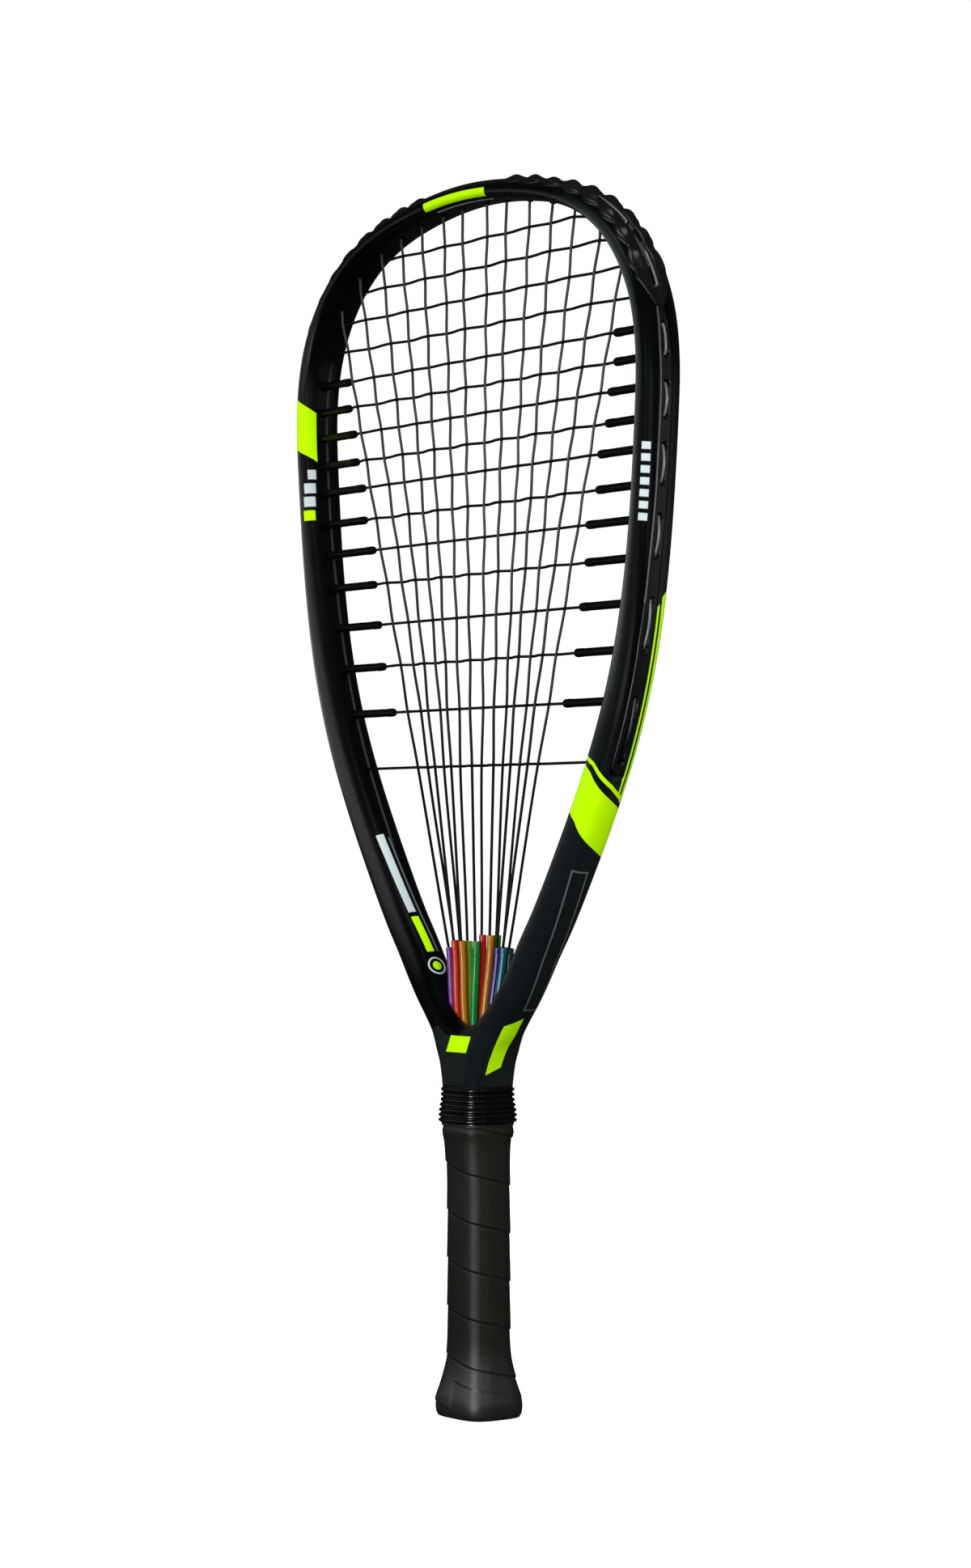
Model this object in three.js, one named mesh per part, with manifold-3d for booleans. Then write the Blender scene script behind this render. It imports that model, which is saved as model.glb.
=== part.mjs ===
// Racquetball racket, upright: the butt stands at z = 0 and the head is at the top.
// Millimetres, +Z up. X lies in the string plane, Y is the thickness direction, front is -Y.
import * as THREE from 'three';
import { mergeVertices } from 'three/addons/utils/BufferGeometryUtils.js';
import Module from 'manifold-3d';

const wasm = await Module();
wasm.setup();

// ---------------------------------------------------------------- driving dimensions
const LENGTH = 558.8;            // overall, 22 inches
const HEAD_CENTRE_Z = 400;       // pole of the head outline
// head outline: radius of the tube's centre line against the angle from the top of the head
const OUTLINE_DEG = [0, 18, 36, 54, 72, 90, 108, 126, 140, 150, 158, 164, 169, 173];
const OUTLINE_R = [152.21, 154.88, 160.65, 153.97, 134.82, 124.55, 124.8, 133.2, 145.28, 158.4, 173.43, 188.01, 202.92, 220.28];
// tube section across the plane (W) and through it (D), against the same angle
const SECTION_DEG = [0, 45, 90, 135, 173];
const SECTION_W = [8.7, 8.75, 12.4, 18.0, 18.0];
const SECTION_D = [20.4, 22.1, 20.3, 17.8, 17.5];
const SECTION_N = 2.7;           // superellipse exponent
const WALL = 1.3;                // laminate thickness
const GROOVE_HALF = 3.6;         // string groove in the tube's outer side
const GROOVE_DEPTH = 2.6;
const GROOVE_END_DEG = 139;
const STRING_R = 0.65;
const WEAVE = 1.4;               // centre distance of two strings that cross
const LANE = 0.8;                // side step of mains and crosses where both use one groove
const MAIN_X_CHEST = [97.2, 80.9, 63.6, 49.9, 35.1, 21.4, 7.4];   // |x| of mains 1..7 at z = 478
const MAIN_X_TUBE = [20.8, 20.8, 16.3, 16.3, 10.7, 10.7, 0];      // |x| at the tube tops, z = 212
const TUBE_TOP_Z = [210.8, 213.9, 213.9, 213.9, 213.9, 213.9, 214.0, 216.9, 216.9, 216.9, 211.6, 211.6, 211.6, 211.2];
const ROW_Y = 1.75;              // tube rows in front of and behind the plane
const CROSS_Z = [532.1, 519.3, 506.0, 492.4, 478.2, 465.6, 453.0, 439.6, 426.7, 411.4, 396.7, 380.4, 361.2, 341.4, 319.6, 293.5];
const PEG_TIP_X = [100.2, 100.2, 96.1, 94.2, 89.0, 87.6, 80.7, 79.9, 76.0, 72.4, 64.3];   // crosses 5..15
const PEG_R = 1.75;
const HOLE_R = 2.35;             // string holes in the head
const TUBE_R = 1.55;
const TUBE_BORE = 1.1;
// the tubes gather from seven columns in the throat into one block in the handle
const GATHER_Z = [212, 197, 180, 170, 150, 124];
const GATHER_X = [[0, 0, 0, 0, 0, 0], [10.7, 9.2, 7.3, 6.2, 2.9, 1.85], [16.3, 14.7, 12.4, 11.1, 5.9, 3.7], [20.8, 18.7, 16.1, 14.8, 8.6, 5.55]];
const GATHER_Y_WIDE = [1.75, 1.75, 1.8, 1.9, 4.5, 4.8];
const GATHER_Y_NARROW = [1.75, 1.74, 1.72, 1.7, 1.63, 1.62];
const PLATE_Z = [13.2, 16.2];    // string anchor plate
const TUBE_END_Z = 16.8;
const HANDLE_END_Z = 6;
const GRIP_TOP_Z = 136;
const BUMPER_END_DEG = 56.6;
const KNUCKLE_DEG = [13.6, 18.8, 24.2, 29.2, 34, 38.8, 43.5, 48.3], KNUCKLE_HEIGHT = 0.7; // rows of knuckles on the head guard
const TUBE_COLOURS = ['#7a3f9c', '#2f55a8', '#c8401c', '#16808a', '#c88a10', '#5fa01c', '#138a50',
  '#c42c2c', '#cf8414', '#3f8a1e', '#4a3590', '#1f5fa0', '#1a7f90', '#8d9a9c'];

// ---------------------------------------------------------------- helpers
function spline(xs, ys) {         // natural cubic spline
  const n = xs.length, m = new Array(n).fill(0), c = new Array(n).fill(0), d = new Array(n).fill(0);
  for (let i = 1; i < n - 1; i++) {
    const h0 = xs[i] - xs[i - 1], h1 = xs[i + 1] - xs[i];
    const a = h0, b = 2 * (h0 + h1), r = 6 * ((ys[i + 1] - ys[i]) / h1 - (ys[i] - ys[i - 1]) / h0);
    const w = b - a * c[i - 1];
    c[i] = h1 / w;
    d[i] = (r - a * d[i - 1]) / w;
  }
  for (let i = n - 2; i > 0; i--) m[i] = d[i] - c[i] * m[i + 1];
  return (x) => {
    let i = 0;
    while (i < n - 2 && x > xs[i + 1]) i++;
    const h = xs[i + 1] - xs[i], t = (xs[i + 1] - x) / h, u = (x - xs[i]) / h;
    return t * ys[i] + u * ys[i + 1] + ((t ** 3 - t) * m[i] + (u ** 3 - u) * m[i + 1]) * h * h / 6;
  };
}
const lerpTable = (xs, ys) => (x) => {
  if (x <= xs[0]) return ys[0];
  for (let i = 1; i < xs.length; i++) if (x <= xs[i]) return ys[i - 1] + (ys[i] - ys[i - 1]) * (x - xs[i - 1]) / (xs[i] - xs[i - 1]);
  return ys[ys.length - 1];
};
const rad = (g) => g * Math.PI / 180;
const outlineR = spline([...OUTLINE_DEG.slice(1).map((g) => -g).reverse(), ...OUTLINE_DEG], [...OUTLINE_R.slice(1).reverse(), ...OUTLINE_R]);
const sectionW = spline([...SECTION_DEG.slice(1).map((g) => -g).reverse(), ...SECTION_DEG], [...SECTION_W.slice(1).reverse(), ...SECTION_W]);
const sectionD = spline([...SECTION_DEG.slice(1).map((g) => -g).reverse(), ...SECTION_DEG], [...SECTION_D.slice(1).reverse(), ...SECTION_D]);

// centre line of the head at angle g (degrees from the top, + towards +X) and its outward normal
function centre(g) {
  const p = (q) => [outlineR(q) * Math.sin(rad(q)), HEAD_CENTRE_Z + outlineR(q) * Math.cos(rad(q))];
  const [x, z] = p(g), [x0, z0] = p(g - 0.05), [x1, z1] = p(g + 0.05);
  const l = Math.hypot(x1 - x0, z1 - z0);
  return { x, z, nx: -(z1 - z0) / l, nz: (x1 - x0) / l, w: sectionW(g), d: sectionD(g) };
}
const at = (s, a, b) => [s.x + s.nx * a, b, s.z + s.nz * a];   // point in a section: a outward, b along Y

function geometry(points, triangles) {     // indexed triangles, turned to face outward
  let volume = 0;
  for (const [i, j, k] of triangles) {
    const [a, b, c] = [points[i], points[j], points[k]];
    volume += a[0] * (b[1] * c[2] - b[2] * c[1]) + a[1] * (b[2] * c[0] - b[0] * c[2]) + a[2] * (b[0] * c[1] - b[1] * c[0]);
  }
  const flat = [];
  for (const [i, j, k] of triangles) flat.push(...(volume > 0 ? [i, j, k] : [i, k, j]));
  const g = new THREE.BufferGeometry();
  g.setAttribute('position', new THREE.BufferAttribute(new Float32Array(points.flat()), 3));
  g.setIndex(flat);
  return g;
}
// skin over a row of rings with equal point counts; flat ends are triangulated from 2-D outlines
function loft(rings, outline) {
  const n = rings[0].length, points = rings.flat(), tris = [];
  for (let k = 0; k + 1 < rings.length; k++) {
    for (let j = 0; j < n; j++) {
      const a = k * n + j, b = k * n + (j + 1) % n;
      tris.push([a, b, a + n], [b, b + n, a + n]);
    }
  }
  const cap = outline ? THREE.ShapeUtils.triangulateShape(outline.map(([u, v]) => new THREE.Vector2(u, v)), [])
    : Array.from({ length: n - 2 }, (_, i) => [0, i + 1, i + 2]);
  const last = (rings.length - 1) * n;
  // ends must oppose each other and close the skin
  const area2 = (q) => q.reduce((t, [u, v], k) => t + u * q[(k + 1) % q.length][1] - v * q[(k + 1) % q.length][0], 0);
  for (const [i, j, k] of cap) {
    const same = !outline || area2([outline[i], outline[j], outline[k]]) * area2(outline) > 0;
    tris.push(same ? [i, k, j] : [i, j, k], same ? [last + i, last + j, last + k] : [last + i, last + k, last + j]);
  }
  return geometry(points, tris);
}
function solid(g) {
  const c = new THREE.BufferGeometry();
  c.setAttribute('position', g.getAttribute('position').clone());
  if (g.index) c.setIndex(g.index.clone());
  const m = mergeVertices(c, 1e-4);
  return new wasm.Manifold(new wasm.Mesh({ numProp: 3, vertProperties: new Float32Array(m.attributes.position.array), triVerts: new Uint32Array(m.index.array) }));
}
function unsolid(m) {
  const mesh = m.getMesh(), g = new THREE.BufferGeometry();
  const n = mesh.vertProperties.length / mesh.numProp, p = new Float32Array(n * 3);
  for (let i = 0; i < n; i++) for (let k = 0; k < 3; k++) p[3 * i + k] = mesh.vertProperties[i * mesh.numProp + k];
  g.setAttribute('position', new THREE.BufferAttribute(p, 3));
  g.setIndex(Array.from(mesh.triVerts));
  return mergeVertices(g, 2e-3);
}
const V = (p) => new THREE.Vector3(...p);
// prism of n sides and radius r along a path, with mitred corners
function rod(path, r, n, turn = 0) {
  const rings = [];
  let side = null;
  for (let i = 0; i < path.length; i++) {
    const d0 = i > 0 ? V(path[i]).sub(V(path[i - 1])).normalize() : null;
    const d1 = i + 1 < path.length ? V(path[i + 1]).sub(V(path[i])).normalize() : null;
    const t = (d0 && d1 ? d0.clone().add(d1) : (d0 || d1).clone()).normalize();
    if (!side) { side = Math.abs(t.y) < 0.9 ? new THREE.Vector3(0, 1, 0) : new THREE.Vector3(1, 0, 0); }
    side = side.sub(t.clone().multiplyScalar(side.dot(t))).normalize();
    const up = new THREE.Vector3().crossVectors(t, side);
    const miter = d0 && d1 ? 1 / Math.max(0.6, Math.sqrt((1 + d0.dot(d1)) / 2)) : 1;
    const bend = d0 && d1 ? d1.clone().sub(d0) : new THREE.Vector3();
    if (bend.length() > 1e-6) bend.normalize();
    rings.push(Array.from({ length: n }, (_, j) => {
      const u = turn + 2 * Math.PI * j / n;
      const o = side.clone().multiplyScalar(r * Math.cos(u)).add(up.clone().multiplyScalar(r * Math.sin(u)));
      if (bend.length() > 0.5) o.add(bend.clone().multiplyScalar(o.dot(bend) * (miter - 1)));
      return [path[i][0] + o.x, path[i][1] + o.y, path[i][2] + o.z];
    }));
  }
  return loft(rings);
}
// hollow tube along a path: outer and inner prisms joined by end rings
function pipe(path, r0, r1, n) {
  const outer = rod(path, r0, n), inner = rod(path, r1, n);
  const po = outer.getAttribute('position').array, pi = inner.getAttribute('position').array, k = path.length;
  const pts = [];
  for (let i = 0; i < k * n; i++) pts.push([po[3 * i], po[3 * i + 1], po[3 * i + 2]]);
  for (let i = 0; i < k * n; i++) pts.push([pi[3 * i], pi[3 * i + 1], pi[3 * i + 2]]);
  const tris = [], q = k * n;
  for (let s = 0; s + 1 < k; s++) {
    for (let j = 0; j < n; j++) {
      const a = s * n + j, b = s * n + (j + 1) % n;
      tris.push([a, b, a + n], [b, b + n, a + n], [q + a, q + a + n, q + b], [q + b, q + a + n, q + b + n]);
    }
  }
  const e = (k - 1) * n;
  for (let j = 0; j < n; j++) {
    const j2 = (j + 1) % n;
    tris.push([j, q + j, j2], [j2, q + j, q + j2], [e + j, e + j2, q + e + j], [e + j2, q + e + j2, q + e + j]);
  }
  return geometry(pts, tris);
}
const group = new THREE.Group();
function add(name, g, colour, roughness, metalness = 0) {
  const m = new THREE.Mesh(g, new THREE.MeshStandardMaterial({ color: colour, roughness, metalness }));
  m.name = name;
  group.add(m);
  return m;
}

// ---------------------------------------------------------------- frame sections
// ring of a limb: point 0 is the front middle, a quarter on is the outer side
function limbRing(g, n, inset) {
  const s = centre(g);
  const hw = s.w / 2, hd = s.d / 2 - inset;
  const hi = hw - inset, ho = inset ? hw - inset - GROOVE_DEPTH : hw;   // the hollow stays below the groove
  const ca = (ho - hi) / 2, ha = (ho + hi) / 2;
  return Array.from({ length: n }, (_, j) => {
    const u = 2 * Math.PI * j / n, f = (v) => Math.sign(v) * Math.abs(v) ** (2 / SECTION_N);
    return at(s, ca + ha * f(Math.sin(u)), -hd * f(Math.cos(u)));
  });
}
// ring of a limb in the throat, given by its outer and inner points in the plane
function throatRing(o, i, hd, n, inset) {
  const l = Math.hypot(o[0] - i[0], o[1] - i[1]);
  const s = { x: (o[0] + i[0]) / 2, z: (o[1] + i[1]) / 2, nx: (o[0] - i[0]) / l, nz: (o[1] - i[1]) / l };
  return Array.from({ length: n }, (_, j) => {
    const u = 2 * Math.PI * j / n, f = (v) => Math.sign(v) * Math.abs(v) ** (2 / SECTION_N);
    return at(s, (l / 2 - inset) * f(Math.sin(u)), -(hd - inset) * f(Math.cos(u)));
  });
}
// right half of a shaft ring, front middle to back middle
function shaftHalf(A, B, c, z, n, round) {
  const q = n / 4, out = [[A * 0.42, -B, z], [A - c, -B, z]];
  if (q === 4) out.push([A - c * round, -B + c * round, z]);
  out.push([A, -B + c, z], [A, 0, z], [A, B - c, z]);
  if (q === 4) out.push([A - c * round, B - c * round, z]);
  out.push([A - c, B, z], [A * 0.42, B, z]);
  return out;
}
// stations of the throat below the polar outline: outer point, inner point, half depth
const THROAT = [
  [[38.9, 186.4], [23.2, 193.8], 9.0],
  [[32.1, 178.9], [14.6, 184.4], 9.4],
  [[26.8, 172.4], [7.4, 179.0], 9.9],
];
const V_TOP = [0, 0, 176.4];     // lowest point of the throat's inner curve
const SHAFT = [                  // z, half width, half depth, corner, roundness of the corner (0.5 is a flat bevel)
  [165, 20.1, 11.0, 5.5, 0.35], [158, 16.2, 11.6, 5.0, 0.35], [150, 13.2, 12.3, 4.2, 0.35], [140, 12.3, 11.8, 4.4, 0.4],
  [131, 11.8, 11.3, 4.8, 0.5], [117, 11.5, 10.1, 4.9, 0.5], [HANDLE_END_Z, 11.5, 10.1, 4.9, 0.5],
];
// whole Y-shaped skin; inset 0 is the outside, inset > 0 the hollow
function frameSkin(n, inset, angles, tail) {
  const half = n / 2;
  const mirror = (r) => r.map(([x, y, z]) => [-x, y, z]);
  const right = [...angles.map((g) => limbRing(g, n, inset)), ...THROAT.map(([o, i, hd]) => throatRing(o, i, hd, n, inset))];
  const pts = [], tris = [];
  const put = (ring) => { const s = pts.length; pts.push(...ring); return ring.map((_, k) => s + k); };
  const R = right.map(put), L = right.map((r, k) => (k === 0 ? R[0] : put(mirror(r))));
  const quad = (a, b, c, d) => tris.push([a, b, c], [a, c, d]);
  for (let k = 0; k + 1 < R.length; k++) for (let j = 0; j < n; j++) {
    const j2 = (j + 1) % n;
    quad(R[k][j], R[k][j2], R[k + 1][j2], R[k + 1][j]);
    quad(L[k][j2], L[k][j], L[k + 1][j], L[k + 1][j2]);
  }
  const Re = R[R.length - 1], Le = L[L.length - 1];
  // middle column over the bottom of the V, from the back to the front
  const hd = SHAFT[0][2] - 0.5 - inset, top = V_TOP[2] - inset, low = 169.5;
  const col = put(Array.from({ length: half + 1 }, (_, k) => {
    const u = Math.PI * k / half, f = (v) => Math.sign(v) * Math.abs(v) ** (2 / SECTION_N);
    return [0, hd * f(Math.cos(u)), low + (top - low) * f(Math.sin(u))];
  }));
  for (let k = 0; k < half; k++) {
    const a = (half + k) % n, b = (half + k + 1) % n;
    quad(Re[a], Re[b], col[k + 1], col[k]);
    quad(Le[b], Le[a], col[k], col[k + 1]);
  }
  let ring = [...Re.slice(0, half + 1), col[0], ...Le.slice(0, half + 1).reverse(), col[half]];
  const shaft = SHAFT.map((s) => [...s]);
  if (inset) shaft[shaft.length - 1][0] = tail;
  for (const [z, A, B, c, round] of shaft) {
    const h = shaftHalf(A - inset, B - inset, c - inset * 0.6, z, n, round);
    const next = put([...h, [0, B - inset, z], ...mirror(h).reverse(), [0, -B + inset, z]]);
    for (let j = 0; j < ring.length; j++) { const j2 = (j + 1) % ring.length; quad(ring[j], ring[j2], next[j2], next[j]); }
    ring = next;
  }
  const c0 = pts.length;
  pts.push([0, 0, inset ? tail : HANDLE_END_Z]);
  for (let j = 0; j < ring.length; j++) tris.push([ring[j], ring[(j + 1) % ring.length], c0]);
  return solid(geometry(pts, tris));
}

// ---------------------------------------------------------------- strings: where each one runs
const sgn = (i) => (i < 7 ? -1 : 1);                    // mains 1..7 left, 8..14 right (index 0..13)
const k7 = (i) => (i < 7 ? i : 13 - i);
const row = (i) => (i % 2 === 0 ? -1 : 1);              // odd mains (1, 3, ...) in the front row
const slope = (i) => (MAIN_X_CHEST[k7(i)] - MAIN_X_TUBE[k7(i)]) / (478 - 212);
const mainX = (i, z) => sgn(i) * (MAIN_X_TUBE[k7(i)] + slope(i) * (z - 212));
function solveAngle(f, lo, hi) {                         // root of f between two angles
  let a = lo, b = hi, fa = f(a);
  for (let k = 0; k < 60; k++) { const m = (a + b) / 2, fm = f(m); if (fa * fm <= 0) b = m; else { a = m; fa = fm; } }
  return (a + b) / 2;
}
const innerPoint = (g) => { const s = centre(g); return at(s, -s.w / 2, 0); };
const mainAngle = Array.from({ length: 14 }, (_, i) => solveAngle((g) => { const p = innerPoint(g); return Math.abs(p[0]) - Math.abs(mainX(i, p[2])); }, i < 7 ? -60 : 0.05, i < 7 ? -0.05 : 60));
const mainHoleZ = mainAngle.map((g) => innerPoint(g)[2]);
const mainY = (i, z) => { const z1 = mainHoleZ[i], z0 = TUBE_TOP_Z[i], t = Math.min(1, Math.max(0, (z - z0) / (z1 - z0))); return row(i) * ROW_Y * (1 - t) - LANE * t; };
const crossAngle = CROSS_Z.map((z, k) => solveAngle((g) => (k < 4 ? innerPoint(g)[2] : centre(g).z) - z, 5, 160));
const crossLane = (k) => (k < 4 ? LANE : 0);
// where a level string leaves the tube's outer side
const crossExit = CROSS_Z.map((z, k) => (k < 4 ? crossAngle[k] : solveAngle((g) => { const s = centre(g); return at(s, s.w / 2 - 0.8, 0)[2] - z; }, 5, 160)));
// tubes: straight on from the string, then gathered into a block of seven columns
const smooth = (t) => { t = Math.min(1, Math.max(0, t)); return t * t * (3 - 2 * t); };
function tubePoint(i, z) {
  const c = Math.abs((i >> 1) - 3);                      // 3 outermost column, 0 the middle one
  if (z >= GATHER_Z[0]) return [mainX(i, z), row(i) * ROW_Y, z];
  const f = (t) => -lerpTable([...GATHER_Z].map((q) => -q), t.map((q) => -q))(-z);
  return [sgn(i) * f(GATHER_X[c]), row(i) * f(c % 2 === 0 ? GATHER_Y_WIDE : GATHER_Y_NARROW), z];
}
const TUBE_Z = [...GATHER_Z];
const tubePath = (i) => [TUBE_TOP_Z[i], ...TUBE_Z.filter((z) => z < TUBE_TOP_Z[i] - 3), TUBE_END_Z].map((z) => tubePoint(i, z));

// ---------------------------------------------------------------- frame
const ANGLES = [0, 10, 20, 29, 37, 44, 51, 59, 69, 81, 95, 108, 120, 131, 141, 150, 157.5, 164, 169.3];
const CAVITY_ANGLES = [0, 15, 28, 39, 48, 58, 71, 88, 108, 126, 141, 153, 162.5, 169];
let frame = frameSkin(16, 0, ANGLES, 0).subtract(frameSkin(12, WALL, CAVITY_ANGLES, -5));
// string groove in the outer side
const sweepBox = (a0, a1, b, g0, g1, steps) => {
  const rings = [];
  for (let k = 0; k <= steps; k++) {
    const s = centre(g0 + (g1 - g0) * k / steps), top = s.w / 2;
    rings.push([at(s, top + a0, -b), at(s, top + a1, -b), at(s, top + a1, b), at(s, top + a0, b)]);
  }
  return solid(loft(rings));
};
frame = frame.subtract(sweepBox(-GROOVE_DEPTH, 3, GROOVE_HALF, -GROOVE_END_DEG, GROOVE_END_DEG, 46));
// holes for mains and upper crosses run square to the tube, the others level
const holes = [];
for (let i = 0; i < 14; i++) { const s = centre(mainAngle[i]); holes.push(rod([at(s, -14, -LANE), at(s, 14, -LANE)], HOLE_R, 4, Math.PI / 4)); }
for (const side of [-1, 1]) for (let k = 0; k < 16; k++) {
  const s = centre(side * crossAngle[k]);
  if (k < 4) holes.push(rod([at(s, -9, LANE), at(s, 9, LANE)], HOLE_R, 4, Math.PI / 4));
  else holes.push(rod([[s.x - 17 * side, 0, CROSS_Z[k]], [s.x + 17 * side, 0, CROSS_Z[k]]], k === 15 ? 1.8 : 2.75, 4, Math.PI / 4));
}
for (const h of holes) frame = frame.subtract(solid(h));
// slot in the bottom of the V, from which the string tubes fan out
const slot = [];
for (const z of [207, ...GATHER_Z.slice(1, 5), 143]) {
  const p = [0, 2].map((i) => tubePoint(i, z));
  const hx = Math.max(Math.abs(p[0][0]), Math.abs(p[1][0])) + TUBE_R + 0.9, hy = Math.max(Math.abs(p[0][1]), Math.abs(p[1][1])) + TUBE_R + 0.9;
  slot.push([[-hx, -hy, z], [hx, -hy, z], [hx, hy, z], [-hx, hy, z]]);
}
frame = frame.subtract(solid(loft(slot)));
add('frame', unsolid(frame), '#101214', 0.38);

// ---------------------------------------------------------------- head guard with its string barrels
{
  const rings = [];
  const outline = (s, ridge) => {
    const w = s.w / 2, surf = (b) => w * Math.max(0, 1 - Math.abs(b / (s.d / 2)) ** SECTION_N) ** (1 / SECTION_N);
    return [
      [surf(8.6) + 0.65, -8.6], [w + ridge, -5.4], [w + ridge * 0.85, -2.2], [w - 0.85, -1.75],
      [w - 0.85, 1.75], [w + ridge * 0.85, 2.2], [w + ridge, 5.4], [surf(8.6) + 0.65, 8.6],
      [surf(5.3) + 0.42, 5.3], [w + 0.32, 3.25], [w - 2.3, 3.2], [w - 2.3, -3.2], [w + 0.32, -3.25], [surf(5.3) + 0.42, -5.3],
    ];
  };
  // each knuckle is a ring between two lower ones; the middle of the guard is smooth
  const half = [0, 2.6, 5.3, 8, 10.9];
  for (let k = 0; k < KNUCKLE_DEG.length; k++) half.push(KNUCKLE_DEG[k], k + 1 < KNUCKLE_DEG.length ? (KNUCKLE_DEG[k] + KNUCKLE_DEG[k + 1]) / 2 : 50.9);
  half.push(53.6, BUMPER_END_DEG);
  const knuckle = new Set(KNUCKLE_DEG);
  let first = null;
  for (const g of [...half.slice(1).reverse().map((v) => -v), ...half]) {
    const s = centre(g), far = Math.abs(g);
    const fade = Math.min(1, (BUMPER_END_DEG - far) / 10 + 0.12), calm = far < 10 ? 0.55 : 1;
    const base = far < 4 ? LENGTH - HEAD_CENTRE_Z - OUTLINE_R[0] - SECTION_W[0] / 2 : Math.max(0.95, (1.5 * calm + 0.2) * fade);
    const o = outline(s, base + (knuckle.has(far) ? KNUCKLE_HEIGHT * fade : 0));
    if (!first) first = o;
    rings.push(o.map(([a, b]) => at(s, a, b)));
  }
  let guard = solid(loft(rings, first));
  const barrels = [];
  for (let i = 0; i < 14; i++) barrels.push([centre(mainAngle[i]), -LANE]);
  for (const side of [-1, 1]) for (let k = 0; k < 4; k++) barrels.push([centre(side * crossAngle[k]), LANE]);
  for (const [s, b] of barrels) guard = guard.add(solid(rod([at(s, -s.w / 2 + 0.3, b), at(s, s.w / 2 - 1.2, b)], 1.45, 4, Math.PI / 4)));
  for (const [s, b] of barrels) guard = guard.subtract(solid(rod([at(s, -s.w / 2 - 3, b), at(s, s.w / 2 + 4, b)], 1.0, 4, Math.PI / 4)));
  add('head_bumper_guard', unsolid(guard), '#0d0d0e', 0.5);
}

// ---------------------------------------------------------------- side grommet strips with their pegs
const POCKET_FLOOR = -1.7;
const pocketPairs = { 1: [[4, 5], [6, 7], [8, 9], [10, 11], [12, 13], [14, 15]], '-1': [[5, 6], [7, 8], [9, 10], [11, 12], [13, 14], [15, 15.5]] };
for (const side of [-1, 1]) {
  const steps = 22, rings = [], a = BUMPER_END_DEG + 0.6, b = GROOVE_END_DEG - 0.6;
  for (let k = 0; k <= steps; k++) {
    const s = centre(side * (a + (b - a) * k / steps)), w = s.w / 2;
    rings.push([at(s, w - 2.3, -3.25), at(s, w - 0.1, -3.25), at(s, w - 0.1, 3.25), at(s, w - 2.3, 3.25)]);
  }
  let strip = solid(loft(rings));
  for (let k = 4; k < 15; k++) {
    const s = centre(side * crossAngle[k]);
    const out = Math.abs(s.x) + (s.w / 2 - 1.8) / Math.abs(s.nx), z = CROSS_Z[k], tip = PEG_TIP_X[k - 4];
    strip = strip.add(solid(rod([[side * out, 0, z], [side * (tip + 1), 0, z], [side * tip, 0, z]], PEG_R, 6)));
  }
  const angle = (k) => (k === 15.5 ? crossExit[15] - 3.2 : crossExit[k]);
  for (const [p, q] of pocketPairs[side]) {
    strip = strip.subtract(sweepBox(POCKET_FLOOR, 2, 1.25, side * (Math.min(angle(p), angle(q)) - 0.9), side * (Math.max(angle(p), angle(q)) + 0.9), 4));
  }
  if (side === -1) strip = strip.subtract(sweepBox(POCKET_FLOOR, 2, 1.25, side * (a - 2), side * (crossExit[4] + 0.9), 4));
  for (let k = 4; k < 16; k++) {
    const s = centre(side * crossAngle[k]), z = CROSS_Z[k];
    strip = strip.subtract(solid(rod([[side * (PEG_TIP_X[Math.min(k - 4, 10)] - 3), 0, z], [side * (Math.abs(s.x) + s.w), 0, z]], 0.98, 6)));
  }
  add(side < 0 ? 'left_grommet_strip' : 'right_grommet_strip', unsolid(strip), '#121314', 0.45);
}

// ---------------------------------------------------------------- string tubes
for (let i = 0; i < 14; i++) {
  add('string_tube_' + String(i + 1).padStart(2, '0'), pipe(tubePath(i), TUBE_R, TUBE_BORE, 6), TUBE_COLOURS[i], 0.25);
}

// ---------------------------------------------------------------- main string, one cord in and out of all fourteen tubes
const LOOP = 0.2;                                        // string centre above the tube's outer face, in the groove
function headArc(g0, g1, b, lift = LOOP) {
  const n = Math.max(1, Math.ceil(Math.abs(g1 - g0) / 3.6)), out = [];
  for (let k = 0; k <= n; k++) { const s = centre(g0 + (g1 - g0) * k / n); out.push(at(s, s.w / 2 + lift, b)); }
  return out;
}
{
  const down = (i) => {                                  // from the head hole to below the anchor plate
    const s = centre(mainAngle[i]), p = [at(s, s.w / 2 - 0.9, -LANE), at(s, -s.w / 2 - 1.0, -LANE)];
    p.push([mainX(i, CROSS_Z[7]), mainY(i, CROSS_Z[7]), CROSS_Z[7]]);
    const t = tubePath(i);
    p.push(...t.slice(0, -1));
    const e = tubePoint(i, PLATE_Z[0] - 0.6);
    p.push([e[0], e[1], PLATE_Z[1] + 0.2], e);
    return p;
  };
  const path = [];
  const g0 = mainAngle[0];
  path.push(...headArc(g0 - 6, g0, -LANE).slice(0, -1));
  const stub = centre(g0); path.push(at(stub, stub.w / 2 + LOOP, -LANE));
  for (let i = 0; i < 14; i++) {
    if (i % 2 === 0) {
      path.push(...down(i));
      const e = tubePoint(i, PLATE_Z[0] - 1.5);
      path.push([e[0], e[1] * 0.82, PLATE_Z[0] - 1.75], [e[0], -e[1] * 0.82, PLATE_Z[0] - 1.75]);
    } else {
      path.push(...down(i).reverse());
      if (i < 13) path.push(...headArc(mainAngle[i], mainAngle[i + 1], -LANE));
    }
  }
  const g1 = mainAngle[13];
  path.push(...headArc(g1, g1 + 6, -LANE));
  add('main_string', rod(path, STRING_R, 5, 0.3), '#26282a', 0.4);
}

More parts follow.
